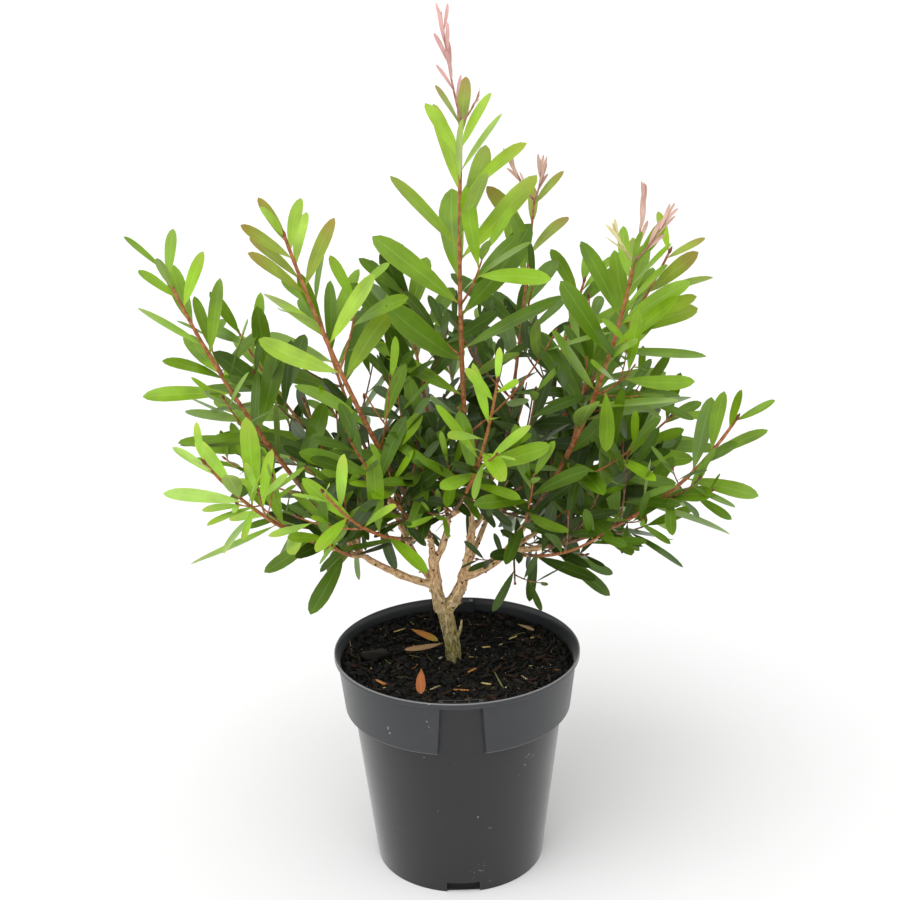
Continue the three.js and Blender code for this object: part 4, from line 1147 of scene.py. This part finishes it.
def leaf_template():
    """A blade of unit length and width, along x, its upper face towards z. Parts: 0 blade, 1 back."""
    bm = bmesh.new()
    bmesh.ops.create_grid(bm, x_segments=len(STATIONS) - 1, y_segments=2, size=1)
    for vert in bm.verts:
        station = round((vert.co.x + 1) / 2 * (len(STATIONS) - 1))
        half, column = HALF_WIDTHS[station], round(vert.co.y)
        vert.co = Vector((STATIONS[station], column * half, FOLD * half * abs(column)))
    bm.normal_update()
    top = bm.faces[:]
    bmesh.ops.reverse_faces(bm, faces=[f for f in top if f.normal.z < 0])
    copied = bmesh.ops.duplicate(bm, geom=top)
    back = [f for f in copied["geom"] if isinstance(f, bmesh.types.BMFace)]
    bmesh.ops.reverse_faces(bm, faces=back)
    for face in back:
        face.material_index = 1
    for vert in {v for f in back for v in f.verts if not v.is_boundary}:
        vert.co.z -= THICKNESS
    layer = bm.loops.layers.uv.new("blade")
    for loop in (loop for face in bm.faces for loop in face.loops):
        x, y, _ = loop.vert.co
        loop[layer].uv = (x, 0.5 + 0.5 * y / np.interp(x, STATIONS, HALF_WIDTHS))
    bmesh.ops.remove_doubles(bm, verts=bm.verts, dist=1e-5)
    bm.normal_update()
    for edge in bm.edges:
        edge.smooth = {f.material_index for f in edge.link_faces} != {0, 1}
    print("leaf template:", len(bm.faces), "faces, closed:", all(e.is_manifold for e in bm.edges))
    return read_template(bm)


blade = leaf_template()

# %% [markdown]
# ## All the leaves
#
# Each copy of the blade is stretched to its leaf's length and width, arched along its length, bent sideways like
# a sickle and twisted, and set on its own axes. The arithmetic works on all the leaves at once. Which green a
# leaf gets depends on its shoot, on how near the tip it stands, on how deep in the crown it lies, and on luck.

# %% Which colour a leaf gets
LADDER = ["lime_pale", "lime", "fresh_light", "fresh", "mature_light", "mature", "deep", "shade"]
OLIVES = {"lime_pale": "olive_lime", "lime": "olive_lime", "fresh_light": "olive_light", "fresh": "olive"}
# Rungs of the ladder that a leaf goes down: from shoot's tip to foot, by depth in the crown (age and painted shade),
# by luck, on a twig.
AGEING, SHADOW, LUCK, ON_TWIG = 1.4, 4.2, 2.1, 0.5
AGE_FROM = 0.7  # how far along its shoot a leaf has the shoot's own age
# The crown's middle and its reach to each side, and the share of that reach within which leaves get darker greens,
# partly as painted shade.
HEART, REACH, SHADE_FROM = Vector((0, 30, 400)), Vector((270, 220, 300)), 0.92
OLIVE_FROM, BRONZE_FROM = 0.3, 0.75  # how far along a bronzed shoot these colours begin
BRONZE_LUCK = 1.2  # what a bronze leaf's share of the way and its luck add up to at least


def tissue_of(leaf):
    """The name of a leaf's blade colour."""
    if leaf["kind"] in BLADES:
        return leaf["kind"]
    flushed = leaf["shoot"] in BRONZED and leaf["kind"] == "main"
    if flushed and leaf["share"] > BRONZE_FROM and leaf["share"] + leaf["luck"] > BRONZE_LUCK:
        return "bronze"
    tip = leaf["root"] + leaf["along"] * leaf["length"]
    out = Vector([(tip[i] - HEART[i]) / REACH[i] for i in range(3)]).length
    step = shoot_named[leaf["shoot"]].age + AGEING * (AGE_FROM - leaf["share"])
    step += SHADOW * max(0, SHADE_FROM - out)
    step += LUCK * (leaf["luck"] - 0.5)
    step += ON_TWIG if leaf["kind"] == "twig" else 0
    name = LADDER[max(0, min(len(LADDER) - 1, round(step)))]
    return OLIVES.get(name, name) if flushed and leaf["share"] > OLIVE_FROM else name


def back_of(name):
    """The name of the colour under a blade."""
    if name in LADDER:
        return list(BACKS)[LADDER.index(name) // 3]
    return "back_light" if name in OLIVES.values() else name


def leaf_parts(chosen):
    """The material number of each face of each blade."""
    names = [tissue_of(leaf) for leaf in chosen]
    return np.array([[tissue_numbers[name], tissue_numbers[back_of(name)]] for name in names])[:, blade.parts]


# %% Placing the blades
ARCH, BEND, TWIST = 0.26, 0.28, 0.9  # the range of each: two as shares of the length, the last in radians


def placed_blades(chosen):
    """The corners of every blade, as copies x corners x 3."""
    root, along, face, form = (
        np.array([leaf[key] for leaf in chosen])[:, None] for key in ("root", "along", "face", "form")
    )
    length, width = (np.array([leaf[key] for leaf in chosen])[:, None] for key in ("length", "width"))
    x, y, z = blade.corners.T
    arch = (form[..., 0] - 0.3) * ARCH
    bend = (form[..., 1] - 0.5) * BEND
    twist = (form[..., 2] - 0.5) * TWIST
    across = y * width
    outward = across * np.cos(twist * x) + bend * length * (x * x - 0.6 * x)
    lift = z * width + across * np.sin(twist * x) - arch * length * (x * x - 0.25 * x)
    side = np.cross(face, along)
    return root + (x * length)[..., None] * along + outward[..., None] * side + lift[..., None] * face


for green in ("lime", "fresh", "mature"):
    masses = [shoot.name for shoot in SHOOTS if shoot.green == green]
    chosen = [leaf for leaf in leaves if leaf["shoot"] in masses]
    settle_copies(
        "leaves_" + green, blade, placed_blades(chosen), leaf_parts(chosen), tissues,
        ["foliage_" + name for name in masses],
    )

# %% [markdown]
# ## Stems and twigs
#
# Young bottlebrush wood is red-brown and smooth, with small knobs along it. Tubes along the shoots' lines make
# the stems: a curve with a round bevel gives each its taper and its knobs, through a radius at every point, and
# becomes a mesh.


# %% Bark of the young wood
def stem_material(name, dark, light):
    """Smooth young bark: fine streaks of two close colours, and a faint gloss."""
    material = new_material(name)
    where = add(material, "TexCoord").outputs["Object"]
    streaks = add(material, "TexNoise", {"Vector": where, "Scale": 1 / (4 * MM), "Detail": 4})
    spread = add(material, "MapRange", {"Value": streaks, "From Min": 0.35, "From Max": 0.65})
    colour = add(material, "Mix", {0: spread, 6: dark, 7: light}, data_type="RGBA")
    skin = {"Base Color": colour, "Roughness": 0.5}
    add(material, "OutputMaterial", {"Surface": add(material, "BsdfPrincipled", skin)})
    return material


stem_materials = [
    stem_material("twig_bark_brown", "#56402c", "#94704c"),
    stem_material("twig_bark_red", "#8a4a24", "#bd7a48"),
    stem_material("twig_flush_rose", "#8d564c", "#c08a7d"),
    stem_material("twig_straw", "#b39a6c", "#dccb9c"),
    stem_material("buds_red_brown", "#5e2c1a", "#8f4a2c"),
]
OLD, RED, ROSE, STRAW, BUD = range(5)
print("made", [m.name for m in stem_materials])


# %% Tubes along the lines
def tube_mesh(name, runs, corners, materials=()):
    """One mesh of capped tubes. A run is its points, their radii and a material number."""
    curve = bpy.data.curves.new(name, "CURVE")
    curve.dimensions = "3D"
    curve.bevel_depth = MM
    curve.bevel_resolution = (corners - 4) // 2
    curve.use_fill_caps = True
    for material in materials:
        curve.materials.append(material)
    for points, radii, number in runs:
        spline = curve.splines.new("POLY")
        spline.points.add(len(points) - 1)
        for corner, place, radius in zip(spline.points, points, radii):
            corner.co = (*(place * MM), 1)
            corner.radius = radius
        spline.material_index = number
    mesh = baked(placed(name, curve))
    bpy.data.curves.remove(curve)
    return mesh


# %% The stems
BROWN_SHARE = 0.3  # how much of a main stem, from its foot, has brown bark already
STEM_STEP = 4  # mm between a tube's rings
KNOB_EVERY, KNOB_RISE = 3, 0.1  # rings from knob to knob, and how far one stands out, as a share


def stem_runs():
    """Each stem in one run or, where its bark changes from brown to red, in two that meet."""
    runs = []
    for stem in stems:
        line, kind = stem["line"], stem["kind"]
        count = max(6, int(line.length() / STEM_STEP))
        shares = [i / count for i in range(count + 1)]
        points = [line.point(t) for t in shares]
        knobs = [1 + KNOB_RISE * (i % KNOB_EVERY == 1) * (0.5 + chance(count, i)) for i in range(count + 1)]
        radii = [mix(*stem["radii"], t) * knob for t, knob in zip(shares, knobs)]
        if kind in BLADES:
            runs.append((points, radii, STRAW if kind == "cream" else ROSE))
        elif kind == "twig":
            runs.append((points, radii, OLD if shoot_named[stem["shoot"]].green == "mature" else RED))
        else:
            change = max(2, int(count * BROWN_SHARE))
            runs.append((points[: change + 1], radii[: change + 1], OLD))
            runs.append((points[change:], radii[change:], RED))
    return runs


stem_mesh = tube_mesh("stems_and_twigs", stem_runs(), 8, stem_materials)
settle(stem_mesh, "stems_and_twigs", stem_materials)

# %% [markdown]
# ## Joints and buds
#
# Under each leaf the stem swells to a small joint, and each shoot that isn't flushing ends in a pointed bud. The
# crumbs' lump is a good joint once it is stretched along its leaf. A finer ball, drawn out at both ends, is the bud.

# %% A joint under each leaf
bearing = [leaf for leaf in leaves if leaf["kind"] not in BLADES]
thick = [0.5 * leaf["girth"] + 0.35 for leaf in bearing]
long = [0.6 * leaf["girth"] + 1.0 for leaf in bearing]
joints = stood_on(
    lump, [leaf["root"] for leaf in bearing], [leaf["along"] + leaf["stem"] for leaf in bearing],
    list(zip(thick, thick, long)),
)
kinds = [RED if leaf["share"] > 0.25 else OLD for leaf in bearing]
settle_copies("leaf_joints", lump, joints, kinds, stem_materials)


# %% A bud at each shoot's end
def bud_template():
    bm = bmesh.new()
    bmesh.ops.create_icosphere(bm, subdivisions=2, radius=1)
    for vert in bm.verts:
        vert.co.xy *= 1 - 0.45 * max(0, vert.co.z)
    return read_template(bm)


bud = bud_template()
ends = [stem for stem in stems if stem["kind"] in ("main", "twig") and stem["shoot"] not in SPRAYS]
girths = np.array([1.0 + 0.9 * stem["radii"][1] for stem in ends])
buds = stood_on(
    bud, [stem["line"].end for stem in ends], [stem["line"].way(1) for stem in ends],
    girths[:, None] * (0.8, 0.8, 2.0),
)
settle_copies("end_buds", bud, buds, [BUD] * len(ends), stem_materials)

# %% [markdown]
# ## Trunk and boughs
#
# The trunk's bark is flaky and grey-brown with a touch of green, with mossy patches, darker and greener towards the
# soil, and splits in short fissures along the wood. On the boughs it is smoother and tan, with round scars where
# leaves once stood.
# Tubes along the limbs' lines are joined by a voxel remesh, which closes the forks as living wood does. Smoothing
# softens them, and then each point moves along its normal by a noise stretched along its own limb, so the bark is
# real relief and not only shading. The stretched place and the age of the wood stay on the mesh as attributes,
# and the bark's colours follow them.


# %% Bark
def bark_material():
    """Flaky bark: pale flakes with dark splits between them, darker and greener towards the soil, tan where it is
    young.
    """
    material = new_material("flaky_bark")
    where = add(material, "TexCoord").outputs["Object"]
    youth = add(material, "Attribute", attribute_name="youth").outputs["Fac"]
    grain = add(material, "Attribute", attribute_name="grain").outputs["Vector"]
    flakes = add(material, "TexNoise", {
        "Vector": grain, "Scale": 1 / (2.1 * MM), "Detail": 6, "Roughness": 0.62, "Distortion": 0.4,
    })
    spread = add(material, "MapRange", {"Value": flakes, "From Min": 0.38, "From Max": 0.62})
    old = add(material, "Mix", {0: spread, 6: "#7d6544", 7: "#efd7a6"}, data_type="RGBA")
    young = add(material, "Mix", {0: spread, 6: "#ac7a4c", 7: "#f6d3a3"}, data_type="RGBA")
    patches = add(material, "TexNoise", {"Vector": where, "Scale": 1 / (7 * MM), "Detail": 3})
    mossy = add(material, "MapRange", {"Value": patches, "From Min": 0.44, "From Max": 0.6, "To Max": 0.75})
    moss = add(material, "Mix", {0: mossy, 6: old, 7: "#cdc88c"}, data_type="RGBA", blend_type="MULTIPLY")
    height = add(material, "SeparateXYZ", {0: where}).outputs["Z"]
    # Darker and greener towards the soil.
    towards_soil = add(material, "MapRange", {"Value": height, "From Min": 245 * MM, "From Max": 205 * MM})
    foot = add(material, "Mix", {0: towards_soil, 6: moss, 7: "#bfccae"}, data_type="RGBA", blend_type="MULTIPLY")
    colour = add(material, "Mix", {0: youth, 6: foot, 7: young}, data_type="RGBA")
    veins = add(material, "TexNoise", {"Vector": grain, "Scale": 1 / (3.6 * MM), "Detail": 3, "Distortion": 0.6})
    centred = add(material, "Math", {0: veins, 1: 0.5}, operation="SUBTRACT")
    apart = add(material, "Math", {0: centred}, operation="ABSOLUTE")
    crack = add(
        material, "MapRange", {"Value": apart, "From Min": 0.004, "From Max": 0.022, "To Min": 0.42, "To Max": 0}
    )
    rest = add(material, "MapRange", {"Value": youth, "To Min": 1, "To Max": 0.2})
    split = add(material, "Math", {0: crack, 1: rest}, operation="MULTIPLY")
    split_colour = add(material, "Mix", {0: split, 6: colour, 7: "#2a2016"}, data_type="RGBA")
    depth = add(material, "Math", {0: flakes, 1: split}, operation="SUBTRACT")
    relief = add(material, "Bump", {"Height": depth, "Strength": 0.7, "Distance": 0.5 * MM})
    skin = {"Base Color": split_colour, "Roughness": 0.75, "Normal": relief}
    add(material, "OutputMaterial", {"Surface": add(material, "BsdfPrincipled", skin)})
    return material


# %% Spurs left by lost twigs
# A spur: limb, share of the way along it, angle round it, spread from it, length, radius.
SPURS = [
    ("left_limb", 0.9, 10, 35, 9, 1.5), ("left_limb", 0.35, 190, 60, 8, 1.6),
    ("right_outer_bough", 0.92, 300, 55, 8, 2.4), ("left_rear_bough", 0.2, 200, 60, 7, 1.3),
    ("right_limb", 0.58, 320, 60, 8, 1.5), ("left_outer_bough", 0.5, 270, 60, 6, 1.2),
    ("right_upright_bough", 0.72, 190, 45, 7, 1.3), ("right_outer_bough", 0.4, 250, 55, 7, 1.4),
    ("left_upright_bough", 0.5, 170, 40, 6, 1.2), ("left_leaning_bough", 0.55, 10, 45, 6, 1.2),
    ("right_limb", 0.2, 10, 50, 9, 1.6), ("left_outer_bough", 0.85, 80, 50, 6, 1.1),
]
SPUR_TAPER = (1.5, 1.15, 1, 0.8)
# The stump of a basal shoot that was cut off, beside the trunk's foot.
STUB = ((-1.5, 9, 208), (2.2, 7, 217), (4, 6.2, 225), (4.6, 6, 232)), (1.8, 1.3, 1.1, 1.1)


def spur_runs():
    for limb, t, angle, spread, length, radius in SPURS:
        line = limb_lines[limb]
        way = branching(line.way(t), math.radians(angle), math.radians(spread))
        yield [line.point(t) + way * length * k / 3 for k in range(4)], [share * radius for share in SPUR_TAPER], 0


# %% The limbs as tubes
FOOT_REACH = 34  # mm of each shoot that are part of the limbs' own mesh, so that the wood runs through
LIMB_STEPS, FOOT_STEPS, LIMB_CORNERS = 16, 6, 16  # steps along a limb and a shoot's foot, corners round both
VOXEL, SMOOTHING = 0.75, 3  # the remesh's grid in mm, and the rounds of smoothing after it


def limb_runs():
    runs = [*spur_runs(), ([Vector(spot) for spot in STUB[0]], STUB[1], 0)]
    for limb in LIMBS:
        line = limb_lines[limb.name]
        shares = [i / LIMB_STEPS for i in range(LIMB_STEPS + 1)]
        radii = [mix(limb.foot, limb.tip, t) + limb.flare * (1 - t) ** 4 for t in shares]
        runs.append(([line.point(t) for t in shares], radii, 0))
    widths = {limb.name: limb.tip for limb in LIMBS}
    for shoot in SHOOTS:
        line = main_lines[shoot.name]
        own, end = STEM_RADIUS * shoot.stout, FOOT_REACH / line.length()
        wide = max(own, 0.8 * widths[shoot.bough])
        shares = [i / FOOT_STEPS for i in range(FOOT_STEPS + 1)]
        radii = [mix(wide, own, t**0.6) + 0.1 for t in shares]
        runs.append(([line.point(end * t) for t in shares], radii, 0))
    return runs


# %% Joining and smoothing
wood = placed("limbs", tube_mesh("limbs", limb_runs(), LIMB_CORNERS))
join = wood.modifiers.new("join", "REMESH")
join.mode, join.voxel_size = "VOXEL", VOXEL * MM
wood.modifiers.new("soften", "SMOOTH").iterations = SMOOTHING
wood_mesh = baked(wood)
print("joined wood:", len(wood_mesh.vertices), "points")

# %% The bark's relief
FORK = Vector((-12.5, 14.5, 245))
# Stretch along the wood, widths of ridges and flakes, and their heights in old and young bark, in mm.
ALONG_GRAIN, RIDGE_WIDTH, FLAKE_WIDTH = 0.36, 1.8, 1.1
RIDGE_HEIGHTS, FLAKE_HEIGHTS = (0.36, 0.08), (0.45, 0.12)
BULGE_WIDTH, BULGE_HEIGHT = 9, 0.8
TRACK_STEPS, SHOOT_TRACK = 30, 45  # steps along a line, and how many mm of a shoot carry bark
TRACK_SHIFT = 40  # mm between the grain of one line and the next, so that no two look alike


def youth_of(place):
    """0 in the trunk's old bark, 1 in the boughs."""
    return max(0.0, min(1.0, ((place - FORK).length - 4) / 28)) if place.z > FORK.z - 8 else 0.0


def grain_tracks():
    """Points along the limbs and the shoots' feet: place, way, and how far along the wood they are."""
    tracks = []
    for number, line in enumerate([*limb_lines.values(), *main_lines.values()]):
        span = line.length()
        share = 1 if number < len(LIMBS) else min(1, SHOOT_TRACK / span)
        for i in range(TRACK_STEPS + 1):
            t = share * i / TRACK_STEPS
            tracks.append((line.point(t), line.way(t), t * span + TRACK_SHIFT * number))
    return tracks


def bark_relief(mesh):
    """Moves the bark in ridges that run along each limb, and keeps the grain and age for its colours."""
    tracks = grain_tracks()
    tree = kdtree.KDTree(len(tracks))
    for i, (place, _, _) in enumerate(tracks):
        tree.insert(place, i)
    tree.balance()
    grains, ages, moved = [], [], []
    for vert in mesh.vertices:
        place = vert.co / MM
        spot, nearest, _ = tree.find(place)
        _, way, travelled = tracks[nearest]
        off = place - spot
        side = Vector((0, 1, 0)).cross(way).normalized()
        grain = Vector((off.dot(side), off.dot(way.cross(side)), ALONG_GRAIN * (travelled + off.dot(way))))
        youth = youth_of(place)
        ridge = 0.5 - 2 * abs(noise.noise(grain / RIDGE_WIDTH))
        flakes = noise.noise(grain / FLAKE_WIDTH)
        relief = mix(*RIDGE_HEIGHTS, youth) * ridge + mix(*FLAKE_HEIGHTS, youth) * flakes
        relief += BULGE_HEIGHT * noise.noise(place / BULGE_WIDTH)
        moved.extend(vert.co + vert.normal * relief * MM)
        grains += [c * MM for c in grain]
        ages.append(youth)
    mesh.vertices.foreach_set("co", moved)
    mesh.attributes.new("grain", "FLOAT_VECTOR", "POINT").data.foreach_set("vector", grains)
    mesh.attributes.new("youth", "FLOAT", "POINT").data.foreach_set("value", ages)
    mesh.update()


bark_relief(wood_mesh)
wood_mesh.shade_smooth()
settle(wood_mesh, "trunk_and_boughs", [bark_material()], [limb.name for limb in LIMBS])

# %% Round scars where old leaves fell
SCARS_PER_LIMB, SCAR_SIZE = 8, (1.1, 1.3, 0.6)
spots, facing = [], []
for limb in LIMBS[1:]:
    for i in range(SCARS_PER_LIMB):
        line, t = limb_lines[limb.name], (i + 0.5) / SCARS_PER_LIMB
        way = branching(line.way(t), GOLDEN_ANGLE * (i + limb.foot), math.radians(90))
        spots.append(line.point(t) + way * (mix(limb.foot, limb.tip, t) + 0.1))
        facing.append(way)
scar_bark = stem_material("scar_bark", "#241810", "#3a281b")
scars = stood_on(lump, spots, facing, [SCAR_SIZE] * len(spots))
settle_copies("leaf_scars", lump, scars, [0] * len(spots), [scar_bark])

# %% [markdown]
# ## What has fallen on the mix
#
# Four dead leaves lie round the trunk, dried to orange and tan, three of them tipped to one side. The leaf
# template serves again, in dry materials. A few longer straws, some grit and one chip of bark each have their
# own place among the crumbs.

# %% Dead leaves
dead_tissues = [
    leaf_material("dry_orange", "#c9823a", DULL, 0.5, "#a9a53c"),
    leaf_material("dry_rust", "#c4713c", DULL, 0.5),
    leaf_material("dry_tan", "#a3815c", DULL, 0.5),
]
# A dead leaf: foot, tip, width, roll in degrees, material number.
DEAD_LEAVES = [
    ((-43.6, 50.4, 203), (-18.8, 35.7, 199), 7.5, 18, 0), ((-13, 22.5, 201), (-48.4, 13.1, 197.5), 6.5, -30, 2),
    ((-32.5, -26, 199), (-32.8, -66, 194.5), 9.2, 14, 1), ((58, 66, 199), (74, 50, 200), 4, 0, 2),
]
fallen = []
for foot, tip, width, roll, _ in DEAD_LEAVES:
    reach = Vector(tip) - Vector(foot)
    along = reach.normalized()
    face = (UP - along * along.z).normalized()
    face.rotate(Matrix.Rotation(math.radians(roll), 3, along))
    fallen.append({
        "root": Vector(foot), "along": along, "face": face, "length": reach.length, "width": width,
        "form": [chance(width, k) for k in range(3)],
    })
settle_copies("dead_leaves", blade, placed_blades(fallen), [row[-1] for row in DEAD_LEAVES], dead_tissues)

# %% Straws and a chip of bark
LAID = [FRESH[0], FRESH[1], PALE[1], FRESH[3], MIX[2], PALE[0]]
STRAW_LIFT = 2.2  # mm between the mix and a straw's underside, so that it lies on the crumbs
# A straw: from, to, width, thickness, material number in LAID.
STRAWS = [
    ((-3, -55), (10, -56), 1.3, 0.9, 0), ((10, -20), (17, -12), 1.6, 0.9, 0), ((-24, -56), (-16, -44), 1.3, 0.9, 2),
    ((34, -23), (40, -55), 1, 0.8, 3), ((-101, 34), (-98, 12), 0.8, 0.7, 2), ((-72, -43), (-64, -52), 2.6, 1, 0),
    ((-86, 0), (-67, 15), 12, 4.5, 4), ((24, 31), (31, 33), 1.4, 0.9, 1), ((40, 36), (45, 40), 1.2, 0.8, 2),
    ((50, 46), (57, 49), 1.4, 0.8, 1), ((62, 39), (67, 42), 1.1, 0.8, 2), ((70, 42), (75, 44), 1.2, 0.8, 1),
    ((11, 12), (15, 14), 1.5, 0.9, 3), ((-4, 31), (0, 34), 1.8, 1.2, 5), ((-17, 11), (-14, 12), 1.6, 1.2, 5),
    ((-60, 60), (-50, 66), 1, 0.8, 1), ((22, -40), (30, -44), 1.6, 1, 1), ((58, -30), (63, -42), 1.2, 0.8, 2),
]
straws = []
for start, end, width, thickness, _ in STRAWS:
    a, b = (Vector((*spot, soil_height(*spot) + STRAW_LIFT + thickness / 2)) for spot in (start, end))
    stretch = np.array([(b - a).length / 2, width / 2, thickness / 2])
    turn = np.array((b - a).to_track_quat("X", "Z").to_matrix())
    straws.append((shred.corners * stretch) @ turn.T + np.array((a + b) / 2))
settle_copies("straws", shred, np.array(straws), [row[-1] for row in STRAWS], LAID)
